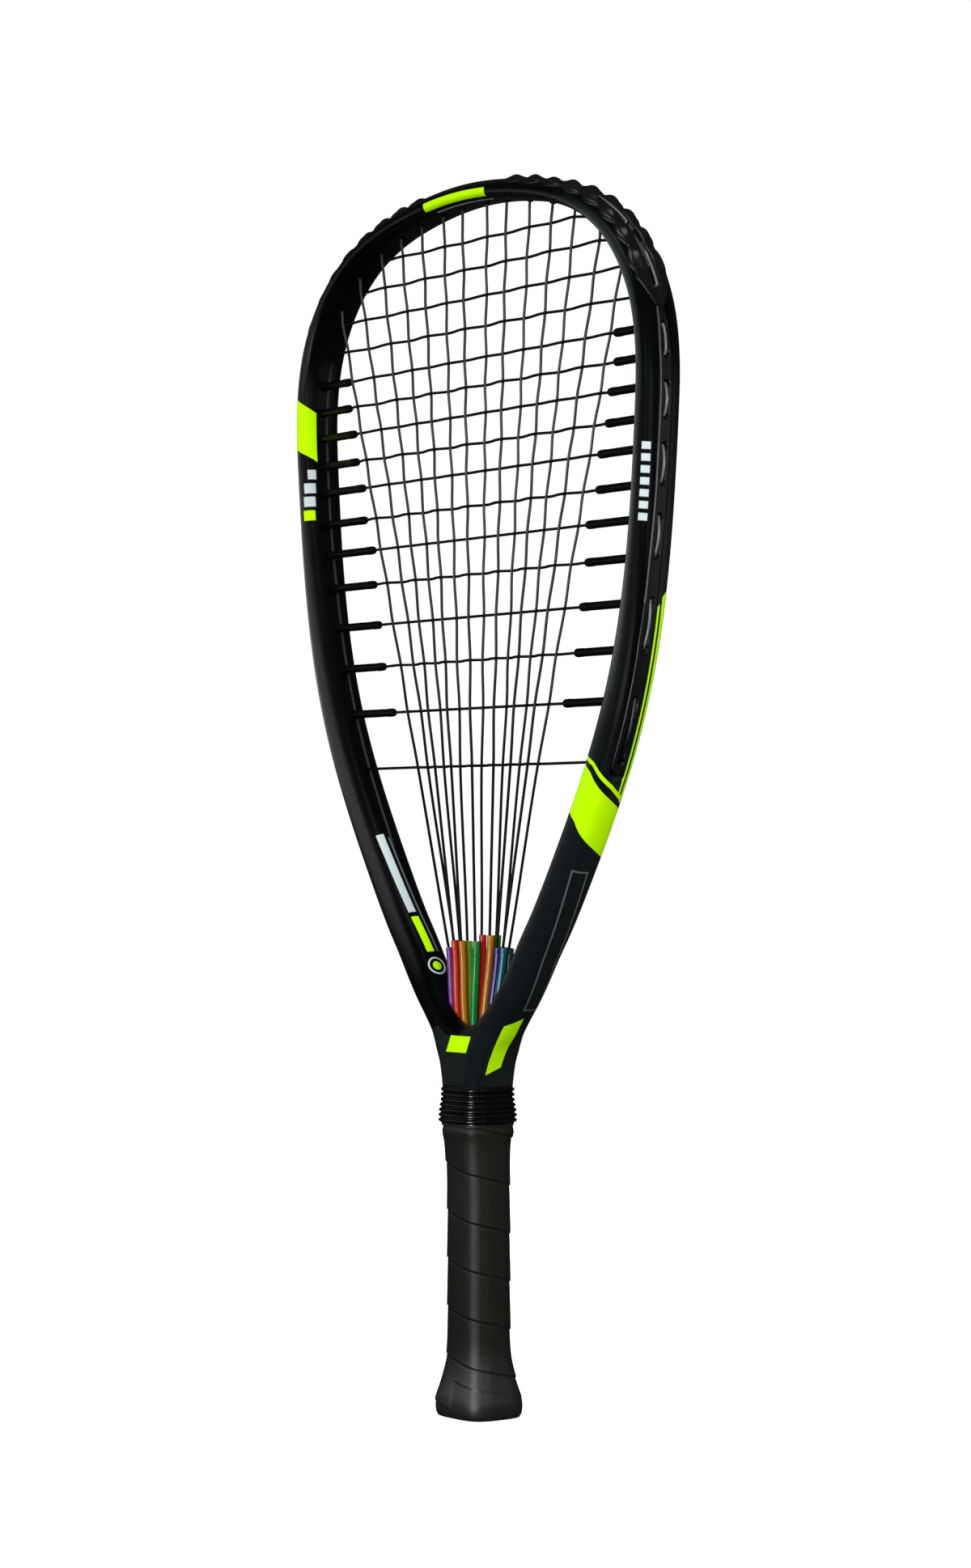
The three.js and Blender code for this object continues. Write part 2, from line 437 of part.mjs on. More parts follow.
// ---------------------------------------------------------------- cross string, woven over and under the mains
{
  const path = [];
  for (let k = 0; k < 16; k++) {
    const z = CROSS_Z[k], dir = k % 2 === 0 ? 1 : -1;    // cross 1 runs left to right
    const s = centre(crossAngle[k]), line = [];
    const edge = k < 4 ? Math.abs(innerPoint(crossAngle[k])[0]) : Math.abs(s.x) - s.w / 2;
    const e = centre(crossExit[k]), exit = at(e, e.w / 2 - 0.8, 0)[0] - 1.4;
    if (k < 4) {
      const l = centre(-crossAngle[k]);
      line.push(at(l, l.w / 2 - 0.9, LANE), at(l, -l.w / 2 - 0.9, LANE));
    } else line.push([-exit, 0, z], [-(k < 15 ? PEG_TIP_X[k - 4] - 0.5 : edge - 2), 0, z]);
    const first = line.length;
    for (let i = 0; i < 14; i++) {
      const x = mainX(i, z);
      if (Math.abs(x) > edge - 2.5) continue;
      line.push([x, mainY(i, z), z, (i + k) % 2 === 0 ? 1 : -1]);
    }
    const last = line.length;
    if (k < 4) line.push(at(s, -s.w / 2 - 0.9, LANE), at(s, s.w / 2 - 0.9, LANE));
    else line.push([(k < 15 ? PEG_TIP_X[k - 4] - 0.5 : edge - 2), 0, z], [exit, 0, z]);
    // height over each main grows with the slope of the string beside it
    const level = line.map((p) => p[1]);
    for (let turn = 0; turn < 6; turn++) for (let j = first; j < last; j++) {
      const slope = [j - 1, j + 1].map((q) => Math.abs((line[j][1] - line[q][1]) / (line[j][0] - line[q][0])));
      line[j][1] = level[j] + line[j][3] * WEAVE * Math.hypot(1, turn ? Math.max(...slope) : 0);
    }
    for (let j = first; j < last; j++) line[j].length = 3;
    if (dir < 0) line.reverse();
    if (k === 0) path.push(...headArc(-crossAngle[0] + 5, -crossAngle[0], LANE));
    path.push(...line);
    const end = dir > 0 ? 1 : -1;
    if (k < 15) {
      const lift = k < 4 ? LOOP : -0.8;
      const arc = headArc(end * crossExit[k], end * crossExit[k + 1], 0, lift);
      const n = arc.length - 1;
      path.push(...arc.map(([x, , zz], q) => [x, crossLane(k) + (crossLane(k + 1) - crossLane(k)) * q / n, zz]));
    } else path.push(...headArc(end * crossExit[15], end * (crossExit[15] - 2.6), 0, -0.8));
  }
  add('cross_string', rod(path, STRING_R, 4), '#141517', 0.45);
}

// ---------------------------------------------------------------- handle end
// plate on which the main string turns round, resting in the bore of the handle
const octagon = (A, B, c, z) => [[A - c, -B, z], [A, -B + c, z], [A, B - c, z], [A - c, B, z], [-A + c, B, z], [-A, B - c, z], [-A, -B + c, z], [-A + c, -B, z]];
{
  const A = 11.5 - WALL - 0.3, B = 10.1 - WALL - 0.3, c = 4.9 - WALL * 0.6;
  let plate = solid(loft([octagon(A, B, c, PLATE_Z[0]), octagon(A, B, c, PLATE_Z[1])]));
  for (let i = 0; i < 14; i++) { const p = tubePoint(i, 14); plate = plate.subtract(solid(rod([[p[0], p[1], 10], [p[0], p[1], 20]], 0.82, 5, 0.3))); }
  add('string_anchor_plate', unsolid(plate), '#2c2d2f', 0.5);
}
// hollow skin between two rows of octagons
function sleeve(outer, inner) {
  const rings = [...outer.map((r) => octagon(...r)), ...inner.map((r) => octagon(...r)).reverse()];
  const n = 8, m = rings.length, points = rings.flat(), tris = [];
  for (let k = 0; k < m; k++) for (let j = 0; j < n; j++) {
    const a = k * n + j, b = k * n + (j + 1) % n, c = ((k + 1) % m) * n + j, d = ((k + 1) % m) * n + (j + 1) % n;
    tris.push([a, b, c], [b, d, c]);
  }
  return geometry(points, tris);
}
// rows: half width, half depth, corner, height
{
  const outside = [[14.9, 13.4, 5.9, 0], [16.0, 14.5, 6.4, 1.3], [16.4, 14.9, 6.5, 4.5], [15.8, 14.3, 6.3, 8.5], [13.4, 12.0, 5.6, 18], [12.6, 11.2, 5.35, 24], [12.35, 10.95, 5.2, 31]];
  const bore = [[11.85, 10.45, 5.0, 31.5], [11.85, 10.45, 5.0, 5.4]];
  let cap = solid(loft(outside.map((r) => octagon(...r))));
  cap = cap.subtract(solid(loft(bore.map((r) => octagon(...r)))));
  cap = cap.subtract(solid(loft([octagon(5.2, 2.6, 1.6, -1), octagon(5.2, 2.6, 1.6, 7)])));
  add('butt_cap', unsolid(cap), '#161616', 0.5);
}
{
  const outside = [[16.6, 15.1, 6.5, 0.9], [17.7, 16.2, 7.0, 2.4], [18.3, 16.8, 7.2, 5.6], [17.4, 15.9, 6.9, 10.5], [16.3, 14.9, 6.5, 14], [15.3, 13.8, 6.2, 18.5], [14.1, 12.7, 5.9, 24.6], [13.6, 12.2, 5.8, 30], [13.5, 12.1, 5.8, 60], [13.6, 12.3, 5.8, 114], [13.8, 12.7, 5.7, 120], [14.2, 13.4, 5.6, 125.5], [14.4, 13.8, 5.4, 129.3], [14.1, 13.5, 5.5, 131], [14.0, 13.4, 5.6, GRIP_TOP_Z]];
  const inside = [[15.95, 14.45, 6.35, 0.9], [16.7, 15.2, 6.6, 4.5], [16.1, 14.6, 6.4, 8.5], [13.75, 12.3, 5.7, 18.2], [12.95, 11.55, 5.4, 24.5], [12.7, 11.3, 5.2, 31.4], [11.9, 10.5, 5.0, 33], [11.9, 10.5, 5.0, 116.5], [12.15, 11.65, 5.0, 130.5], [12.45, 11.95, 3.9, GRIP_TOP_Z]];
  add('grip_wrap', sleeve(outside, inside), '#262622', 0.75);
}
{
  const outside = [[14.75, 14.15, 5.7, 131], [14.75, 14.15, 5.7, 137], [13.2, 12.7, 4.6, 142.5]];
  const inside = [[14.35, 13.75, 5.5, 131], [14.35, 13.75, 5.5, 136.5], [12.8, 12.3, 3.8, 142.5]];
  add('grip_finishing_tape', sleeve(outside, inside), '#151515', 0.6);
}
{
  const outside = [[16.0, 15.4, 6.2, 132], [16.0, 15.4, 6.2, 138], [15.0, 14.4, 5.8, 143.5], [14.8, 14.2, 5.6, 149.2]];
  const inside = [[15.1, 14.5, 5.8, 132], [15.1, 14.5, 5.8, 137.2], [13.55, 13.05, 4.7, 143], [13.6, 12.8, 3.6, 149.2]];
  add('rubber_collar', sleeve(outside, inside), '#0e0e0e', 0.4);
}

export default group;
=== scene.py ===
import bpy, bmesh, math
import numpy as np
from mathutils import Matrix, Vector


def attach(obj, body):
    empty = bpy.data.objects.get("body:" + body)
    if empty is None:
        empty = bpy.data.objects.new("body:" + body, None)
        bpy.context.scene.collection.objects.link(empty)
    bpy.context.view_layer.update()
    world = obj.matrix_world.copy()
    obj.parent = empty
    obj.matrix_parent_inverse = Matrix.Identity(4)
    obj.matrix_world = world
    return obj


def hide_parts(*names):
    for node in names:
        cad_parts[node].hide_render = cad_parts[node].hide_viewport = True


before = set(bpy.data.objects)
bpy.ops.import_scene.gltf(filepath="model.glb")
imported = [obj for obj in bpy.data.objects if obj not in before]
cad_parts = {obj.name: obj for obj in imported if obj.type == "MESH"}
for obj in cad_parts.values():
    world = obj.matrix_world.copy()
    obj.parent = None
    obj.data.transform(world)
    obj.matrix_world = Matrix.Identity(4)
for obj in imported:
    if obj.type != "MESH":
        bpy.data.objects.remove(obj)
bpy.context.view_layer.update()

MM = 0.001
scene = bpy.context.scene
scene.view_settings.view_transform = "Standard"
scene.view_settings.look = "None"
scene.view_settings.exposure = 0.0
scene.view_settings.gamma = 1.0

# ------------------------------------------------------------------ camera
THETA, DIST, F_PX = 0.9289, 1595.629, 4355.0928
right = np.array([math.cos(THETA), math.sin(THETA), 0.0])
fwd = np.array([-math.sin(THETA), math.cos(THETA), 0.0])
up = np.array([0.0, 0.0, 1.0])
eye = -fwd * DIST + right * 3.7927 + up * 258.704
PITCH, ROLL = 0.01661, -0.0017
f2 = fwd * math.cos(PITCH) + up * math.sin(PITCH)
u2 = up * math.cos(PITCH) - fwd * math.sin(PITCH)
r3 = right * math.cos(ROLL) + u2 * math.sin(ROLL)
u3 = u2 * math.cos(ROLL) - right * math.sin(ROLL)
cam_data = bpy.data.cameras.new("camera")
cam_data.sensor_fit = "VERTICAL"
cam_data.sensor_height = 36.0
cam_data.lens = F_PX * 36.0 / 1938.0
cam_data.clip_start, cam_data.clip_end = 0.05, 100.0
cam = bpy.data.objects.new("camera", cam_data)
m = Matrix.Identity(4)
for i in range(3):
    m[i][0], m[i][1], m[i][2], m[i][3] = r3[i], u3[i], -f2[i], eye[i] * MM
cam.matrix_world = m
scene.collection.objects.link(cam)
scene.camera = cam

# ------------------------------------------------------------------ curves of the object, millimetres
LENGTH = 558.8
HEAD_CENTRE_Z = 400.0
OUTLINE_DEG = [0, 18, 36, 54, 72, 90, 108, 126, 140, 150, 158, 164, 169, 173]
OUTLINE_R = [152.21, 154.88, 160.65, 153.97, 134.82, 124.55, 124.8, 133.2, 145.28, 158.4, 173.43, 188.01, 202.92, 220.28]
SECTION_DEG = [0, 45, 90, 135, 173]
SECTION_W = [8.7, 8.75, 12.4, 18.0, 18.0]
SECTION_D = [20.4, 22.1, 20.3, 17.8, 17.5]
SECTION_N = 2.7
GROOVE_HALF, GROOVE_DEPTH, GROOVE_END_DEG = 3.6, 2.6, 139.0
STRING_R = 0.65
LANE = 0.8
MAIN_X_CHEST = [97.2, 80.9, 63.6, 49.9, 35.1, 21.4, 7.4]
MAIN_X_TUBE = [20.8, 20.8, 16.3, 16.3, 10.7, 10.7, 0.0]
TUBE_TOP_Z = [210.8, 213.9, 213.9, 213.9, 213.9, 213.9, 214.0, 216.9, 216.9, 216.9, 211.6, 211.6, 211.6, 211.2]
ROW_Y = 1.75
CROSS_Z = [532.1, 519.3, 506.0, 492.4, 478.2, 465.6, 453.0, 439.6, 426.7, 411.4, 396.7, 380.4, 361.2, 341.4, 319.6, 293.5]
PEG_TIP_X = [100.2, 100.2, 96.1, 94.2, 89.0, 87.6, 80.7, 79.9, 76.0, 72.4, 64.3]
PEG_R = 1.75
TUBE_R, TUBE_BORE = 1.55, 1.1
GATHER_Z = [212, 197, 180, 170, 150, 124]
GATHER_X = [[0, 0, 0, 0, 0, 0], [10.7, 9.2, 7.3, 6.2, 2.9, 1.85], [16.3, 14.7, 12.4, 11.1, 5.9, 3.7], [20.8, 18.7, 16.1, 14.8, 8.6, 5.55]]
GATHER_Y_WIDE = [1.75, 1.75, 1.8, 1.9, 4.5, 4.8]
GATHER_Y_NARROW = [1.75, 1.74, 1.72, 1.7, 1.63, 1.62]
PLATE_Z = (13.2, 16.2)
TUBE_END_Z = 16.8
HANDLE_END_Z = 6.0
BUMPER_END_DEG = 56.6


LINE_S = [150, 190, 230, 261, 295, 345, 356]
LINE_B = [0.3, 0.7, 0.0, -1.3, -2.1, -2.0, -1.6]


def natural(xs, ys):
    n = len(xs)
    m2, c, d = [0.0] * n, [0.0] * n, [0.0] * n
    for i in range(1, n - 1):
        h0, h1 = xs[i] - xs[i - 1], xs[i + 1] - xs[i]
        r = 6 * ((ys[i + 1] - ys[i]) / h1 - (ys[i] - ys[i - 1]) / h0)
        w = 2 * (h0 + h1) - h0 * c[i - 1]
        c[i] = h1 / w
        d[i] = (r - h0 * d[i - 1]) / w
    for i in range(n - 2, 0, -1):
        m2[i] = d[i] - c[i] * m2[i + 1]

    def f(x):
        i = 0
        while i < n - 2 and x > xs[i + 1]:
            i += 1
        h = xs[i + 1] - xs[i]
        t, u = (xs[i + 1] - x) / h, (x - xs[i]) / h
        return t * ys[i] + u * ys[i + 1] + ((t**3 - t) * m2[i] + (u**3 - u) * m2[i + 1]) * h * h / 6

    return f


def even(xs, ys):
    return natural([-v for v in xs[1:]][::-1] + list(xs), list(ys[1:])[::-1] + list(ys))


outline_r = even(OUTLINE_DEG, OUTLINE_R)
section_w = even(SECTION_DEG, SECTION_W)
section_d = even(SECTION_DEG, SECTION_D)


class Sec:
    """A section across the hoop: middle, outward normal in the plane, width and depth."""

    def __init__(self, x, z, nx, nz, w, d):
        self.x, self.z, self.nx, self.nz, self.w, self.d = x, z, nx, nz, w, d

    def at(self, a, b):
        return (self.x + self.nx * a, b, self.z + self.nz * a)

    def surf(self, b):
        return self.w / 2 * max(0.0, 1 - abs(b / (self.d / 2)) ** SECTION_N) ** (1 / SECTION_N)


def centre(g):
    def p(q):
        r = outline_r(q)
        return r * math.sin(math.radians(q)), HEAD_CENTRE_Z + r * math.cos(math.radians(q))

    (x, z), (x0, z0), (x1, z1) = p(g), p(g - 0.05), p(g + 0.05)
    length = math.hypot(x1 - x0, z1 - z0)
    return Sec(x, z, -(z1 - z0) / length, (x1 - x0) / length, section_w(g), section_d(g))


# arc length along the hoop's centre line against the angle, both ways
_G = np.arange(-173.0, 173.01, 0.1)
_P = np.array([(centre(g).x, centre(g).z) for g in _G])
_S = np.concatenate([[0], np.cumsum(np.hypot(*np.diff(_P, axis=0).T))])
_S -= np.interp(0.0, _G, _S)


def arc_of(g):
    return float(np.interp(g, _G, _S))


def angle_of(s):
    return float(np.interp(s, _S, _G))


def lerp_table(xs, ys, x):
    return float(np.interp(x, xs, ys))


def smooth(t):
    t = min(1.0, max(0.0, t))
    return t * t * (3 - 2 * t)


def sgn(i):
    return -1 if i < 7 else 1


def k7(i):
    return i if i < 7 else 13 - i


def row(i):
    return -1 if i % 2 == 0 else 1


def main_x(i, z):
    k = k7(i)
    return sgn(i) * (MAIN_X_TUBE[k] + (MAIN_X_CHEST[k] - MAIN_X_TUBE[k]) / (478 - 212) * (z - 212))


def solve(f, lo, hi):
    a, b, fa = lo, hi, f(lo)
    for _ in range(50):
        mid = (a + b) / 2
        fm = f(mid)
        if fa * fm <= 0:
            b = mid
        else:
            a, fa = mid, fm
    return (a + b) / 2


def inner_point(g):
    s = centre(g)
    return s.at(-s.w / 2, 0)


def _main_gap(i):
    def f(g):
        p = inner_point(g)
        return abs(p[0]) - abs(main_x(i, p[2]))

    return f


main_angle = [solve(_main_gap(i), -60 if i < 7 else 0.05, -0.05 if i < 7 else 60) for i in range(14)]
main_hole_z = [inner_point(g)[2] for g in main_angle]


def main_y(i, z):
    z1, z0 = main_hole_z[i], TUBE_TOP_Z[i]
    t = min(1.0, max(0.0, (z - z0) / (z1 - z0)))
    return row(i) * ROW_Y * (1 - t) - LANE * t


cross_angle = [solve(lambda g, z=z, k=k: (inner_point(g)[2] if k < 4 else centre(g).z) - z, 5, 160) for k, z in enumerate(CROSS_Z)]


def _exit(k, z):
    if k < 4:
        return cross_angle[k]

    def f(g):
        s = centre(g)
        return s.at(s.w / 2 - 0.8, 0)[2] - z

    return solve(f, 5, 160)


cross_exit = [_exit(k, z) for k, z in enumerate(CROSS_Z)]


def tube_point(i, z):
    c = abs((i >> 1) - 3)
    if z >= GATHER_Z[0]:
        return (main_x(i, z), row(i) * ROW_Y, z)
    zs = [-q for q in GATHER_Z]
    x = lerp_table(zs, GATHER_X[c], -z)
    y = lerp_table(zs, GATHER_Y_WIDE if c % 2 == 0 else GATHER_Y_NARROW, -z)
    return (sgn(i) * x, row(i) * y, z)


def line_b(s):
    """Offset of the side strips and their groove from the middle of the section."""
    return float(np.interp(abs(s), LINE_S, LINE_B)) if abs(s) > 140 else 0.0


# ------------------------------------------------------------------ mesh helpers
class Shell:
    """Collects quads and triangles with a uv for each corner, then makes one mesh."""

    def __init__(self):
        self.v, self.f, self.uv = [], [], []

    def patch(self, pts, uvs=None, wrap=False):
        """pts[row][column] of millimetre points; wrap joins the last column to the first."""
        rows, cols = len(pts), len(pts[0])
        base = len(self.v)
        for r in pts:
            self.v.extend(r)
        last = cols if wrap else cols - 1
        for r in range(rows - 1):
            for c in range(last):
                c2 = (c + 1) % cols
                self.f.append((base + r * cols + c, base + r * cols + c2, base + (r + 1) * cols + c2, base + (r + 1) * cols + c))
                if uvs is None:
                    self.uv.append(((0, 0),) * 4)
                else:
                    e = c + 1
                    self.uv.append((uvs[r][c], uvs[r][e], uvs[r + 1][e], uvs[r + 1][c]))
        return base

    def fan(self, ring, mid):
        base = len(self.v)
        self.v.extend(ring)
        self.v.append(mid)
        n = len(ring)
        for j in range(n):
            self.f.append((base + j, base + (j + 1) % n, base + n))
            self.uv.append(((0, 0),) * 3)

    def object(self, name, mats, sharp=None, weld=True, flip_fix=True):
        me = bpy.data.meshes.new(name)
        me.from_pydata([(x * MM, y * MM, z * MM) for x, y, z in self.v], [], self.f)
        layer = me.uv_layers.new(name="surface")
        flat = [c for quad in self.uv for uv in quad for c in uv]
        layer.data.foreach_set("uv", [c * MM for c in flat])
        bm = bmesh.new()
        bm.from_mesh(me)
        if weld:
            bmesh.ops.remove_doubles(bm, verts=bm.verts, dist=2e-6)
            bmesh.ops.dissolve_degenerate(bm, edges=bm.edges, dist=1e-7)
        if flip_fix:
            bmesh.ops.recalc_face_normals(bm, faces=bm.faces)
        bm.to_mesh(me)
        bm.free()
        me.polygons.foreach_set("use_smooth", [True] * len(me.polygons))
        if sharp is not None:
            me.set_sharp_from_angle(angle=math.radians(sharp))
        ob = bpy.data.objects.new(name, me)
        for mat in mats if isinstance(mats, (list, tuple)) else [mats]:
            me.materials.append(mat)
        scene.collection.objects.link(ob)
        return ob


def resample(poly, n):
    """n + 1 points at equal steps along a polyline; returns points and the total length."""
    p = np.asarray(poly, float)
    seg = np.hypot(*np.diff(p, axis=0).T) if p.shape[1] == 2 else np.linalg.norm(np.diff(p, axis=0), axis=1)
    s = np.concatenate([[0], np.cumsum(seg)])
    q = np.linspace(0, s[-1], n + 1)
    return np.stack([np.interp(q, s, p[:, k]) for k in range(p.shape[1])], axis=1), float(s[-1])


def hermite_columns(stations, counts):
    """Rows through every station (arrays of points), with counts[k] steps between stations k and k + 1."""
    st = [np.asarray(s, float) for s in stations]
    step = [float(np.mean(np.linalg.norm(st[k + 1] - st[k], axis=1))) for k in range(len(st) - 1)]
    t = np.concatenate([[0], np.cumsum(step)])
    tangents = []
    for k in range(len(st)):
        if k == 0:
            tangents.append((st[1] - st[0]) / step[0])
        elif k == len(st) - 1:
            tangents.append((st[k] - st[k - 1]) / step[-1])
        else:
            d0, d1 = (st[k] - st[k - 1]) / step[k - 1], (st[k + 1] - st[k]) / step[k]
            tangents.append((d0 * step[k] + d1 * step[k - 1]) / (step[k] + step[k - 1]))
    rows_out, ts = [st[0]], [0.0]
    for k in range(len(st) - 1):
        h = step[k]
        for q in range(1, counts[k] + 1):
            u = q / counts[k]
            h00, h10 = 2 * u**3 - 3 * u**2 + 1, u**3 - 2 * u**2 + u
            h01, h11 = -2 * u**3 + 3 * u**2, u**3 - u**2
            rows_out.append(h00 * st[k] + h10 * h * tangents[k] + h01 * st[k + 1] + h11 * h * tangents[k + 1])
            ts.append(t[k] + u * h)
    return rows_out, ts


def tube_mesh(shell, path, radius, sides=12, cap=True, bore=None, closed_ends=True):
    """Round tube along a millimetre path; radius is a number or one per point."""
    p = np.asarray(path, float)
    n = len(p)
    radii = np.full(n, radius) if np.isscalar(radius) else np.asarray(radius, float)
    tang = np.gradient(p, axis=0)
    tang /= np.linalg.norm(tang, axis=1)[:, None]
    ref = np.array([0, 1.0, 0]) if abs(tang[0][1]) < 0.9 else np.array([1.0, 0, 0])
    side = ref - tang[0] * ref.dot(tang[0])
    side /= np.linalg.norm(side)
    rows_out, inner = [], []
    lengths = np.concatenate([[0], np.cumsum(np.linalg.norm(np.diff(p, axis=0), axis=1))])
    for k in range(n):
        side = side - tang[k] * side.dot(tang[k])
        side /= np.linalg.norm(side)
        over = np.cross(tang[k], side)
        ring = [tuple(p[k] + (side * math.cos(a) + over * math.sin(a)) * radii[k]) for a in (2 * math.pi * j / sides for j in range(sides))]
        rows_out.append(ring)
        if bore is not None:
            inner.append([tuple(p[k] + (side * math.cos(a) + over * math.sin(a)) * bore) for a in (2 * math.pi * j / sides for j in range(sides))])
    circ = 2 * math.pi * float(radii.mean())
    uvs = [[(lengths[k], circ * j / sides) for j in range(sides + 1)] for k in range(n)]
    shell.patch(rows_out, uvs, wrap=True)
    if bore is not None:
        shell.patch(inner, uvs, wrap=True)
        shell.patch([rows_out[0], inner[0]], wrap=True)
        shell.patch([rows_out[-1], inner[-1]], wrap=True)
    elif cap:
        shell.fan(rows_out[0], tuple(p[0]))
        shell.fan(rows_out[-1], tuple(p[-1]))


def wave_path(knots, step=1.6):
    """Smooth curve through 3-D points with flat tops at each knot in y; returns dense points."""
    p = np.asarray(knots, float)
    out = [p[0]]
    for k in range(len(p) - 1):
        a, b = p[k], p[k + 1]
        n = max(2, int(math.ceil(np.linalg.norm(b - a) / step)))
        for q in range(1, n + 1):
            u = q / n
            c = a + (b - a) * u
            c[1] = a[1] + (b[1] - a[1]) * (0.5 * smooth(u) + 0.5 * (0.5 - 0.5 * math.cos(math.pi * u)))
            out.append(c)
    return out


# ------------------------------------------------------------------ materials
def new_material(name):
    mat = bpy.data.materials.new(name)
    mat.use_nodes = True
    nt = mat.node_tree
    nt.nodes.clear()
    out = nt.nodes.new("ShaderNodeOutputMaterial")
    bsdf = nt.nodes.new("ShaderNodeBsdfPrincipled")
    nt.links.new(bsdf.outputs[0], out.inputs[0])
    return mat, nt, bsdf


def noise(nt, scale, detail=3.0, rough=0.5, vector=None, stretch=None):
    n = nt.nodes.new("ShaderNodeTexNoise")
    n.inputs["Scale"].default_value = scale
    n.inputs["Detail"].default_value = detail
    n.inputs["Roughness"].default_value = rough
    tc = nt.nodes.new("ShaderNodeTexCoord")
    src = tc.outputs["Object"] if vector is None else vector
    if stretch is not None:
        mp = nt.nodes.new("ShaderNodeMapping")
        mp.inputs["Scale"].default_value = stretch
        nt.links.new(src, mp.inputs["Vector"])
        src = mp.outputs["Vector"]
    nt.links.new(src, n.inputs["Vector"])
    return n.outputs["Fac"]


def ramp(nt, fac, stops):
    r = nt.nodes.new("ShaderNodeValToRGB")
    while len(r.color_ramp.elements) < len(stops):
        r.color_ramp.elements.new(0.5)
    for e, (pos, col) in zip(r.color_ramp.elements, stops):
        e.position = pos
        e.color = (*col, 1.0) if len(col) == 3 else col
    nt.links.new(fac, r.inputs["Fac"])
    return r.outputs["Color"]


def map_range(nt, fac, lo, hi, a=0.0, b=1.0):
    r = nt.nodes.new("ShaderNodeMapRange")
    r.inputs["From Min"].default_value = a
    r.inputs["From Max"].default_value = b
    r.inputs["To Min"].default_value = lo
    r.inputs["To Max"].default_value = hi
    nt.links.new(fac, r.inputs["Value"])
    return r.outputs["Result"]


def math_node(nt, op, a, b=None, c=None, clamp=False):
    n = nt.nodes.new("ShaderNodeMath")
    n.operation = op
    n.use_clamp = clamp
    for k, v in enumerate((a, b, c)):
        if v is None:
            continue
        if isinstance(v, (int, float)):
            n.inputs[k].default_value = v
        else:
            nt.links.new(v, n.inputs[k])
    return n.outputs[0]


def mix_color(nt, fac, a, b):
    n = nt.nodes.new("ShaderNodeMix")
    n.data_type = "RGBA"
    if isinstance(fac, (int, float)):
        n.inputs[0].default_value = fac
    else:
        nt.links.new(fac, n.inputs[0])
    for sock, v in ((n.inputs[6], a), (n.inputs[7], b)):
        if isinstance(v, tuple):
            sock.default_value = (*v, 1.0)
        else:
            nt.links.new(v, sock)
    return n.outputs[2]


def bump(nt, bsdf, height, strength=0.2, distance=0.0002, chain=None):
    b = nt.nodes.new("ShaderNodeBump")
    b.inputs["Strength"].default_value = strength
    b.inputs["Distance"].default_value = distance
    nt.links.new(height, b.inputs["Height"])
    if chain is not None:
        nt.links.new(chain, b.inputs["Normal"])
    nt.links.new(b.outputs["Normal"], bsdf.inputs["Normal"])
    return b.outputs["Normal"]


def srgb(*c):
    return tuple((v / 255 / 12.92) if v / 255 <= 0.04045 else ((v / 255 + 0.055) / 1.055) ** 2.4 for v in c)


def plain_plastic(name, dark, light, rough=(0.3, 0.42), scale=900, bump_strength=0.15, specular=0.5, coat=0.0):
    mat, nt, bsdf = new_material(name)
    n1 = noise(nt, scale, 4.0, 0.6)
    nt.links.new(ramp(nt, n1, [(0.3, dark), (0.7, light)]), bsdf.inputs["Base Color"])
    n2 = noise(nt, scale * 0.07, 3.0, 0.55)
    nt.links.new(map_range(nt, n2, rough[0], rough[1], 0.3, 0.7), bsdf.inputs["Roughness"])
    bsdf.inputs["Specular IOR Level"].default_value = specular
    bsdf.inputs["Coat Weight"].default_value = coat
    bump(nt, bsdf, n1, bump_strength, 0.00003)
    return mat


LIME = srgb(188, 255, 0)
PALE = srgb(196, 208, 209)


def step_up(nt, x, edge, soft=0.14):
    """0 below the edge, 1 above it, with a narrow soft step."""
    if isinstance(edge, (int, float)):
        return map_range(nt, x, 0.0, 1.0, edge - soft, edge + soft)
    return map_range(nt, math_node(nt, "SUBTRACT", x, edge), 0.0, 1.0, -soft, soft)


def between(nt, x, lo, hi, soft=0.14):
    return math_node(nt, "MULTIPLY", step_up(nt, x, lo, soft), math_node(nt, "SUBTRACT", 1.0, step_up(nt, x, hi, soft)))


def both(nt, *masks):
    out = masks[0]
    for q in masks[1:]:
        out = math_node(nt, "MULTIPLY", out, q)
    return out


def any_of(nt, *masks):
    out = masks[0]
    for q in masks[1:]:
        out = math_node(nt, "MAXIMUM", out, q)
    return out


def ramp_line(nt, x, points):
    """Piecewise linear value along x."""
    out = None
    for (x0, y0), (x1, y1) in zip(points, points[1:]):
        part = map_range(nt, x, 0.0, y1 - y0, x0, x1)
        out = part if out is None else math_node(nt, "ADD", out, part)
    return math_node(nt, "ADD", out, points[0][1])


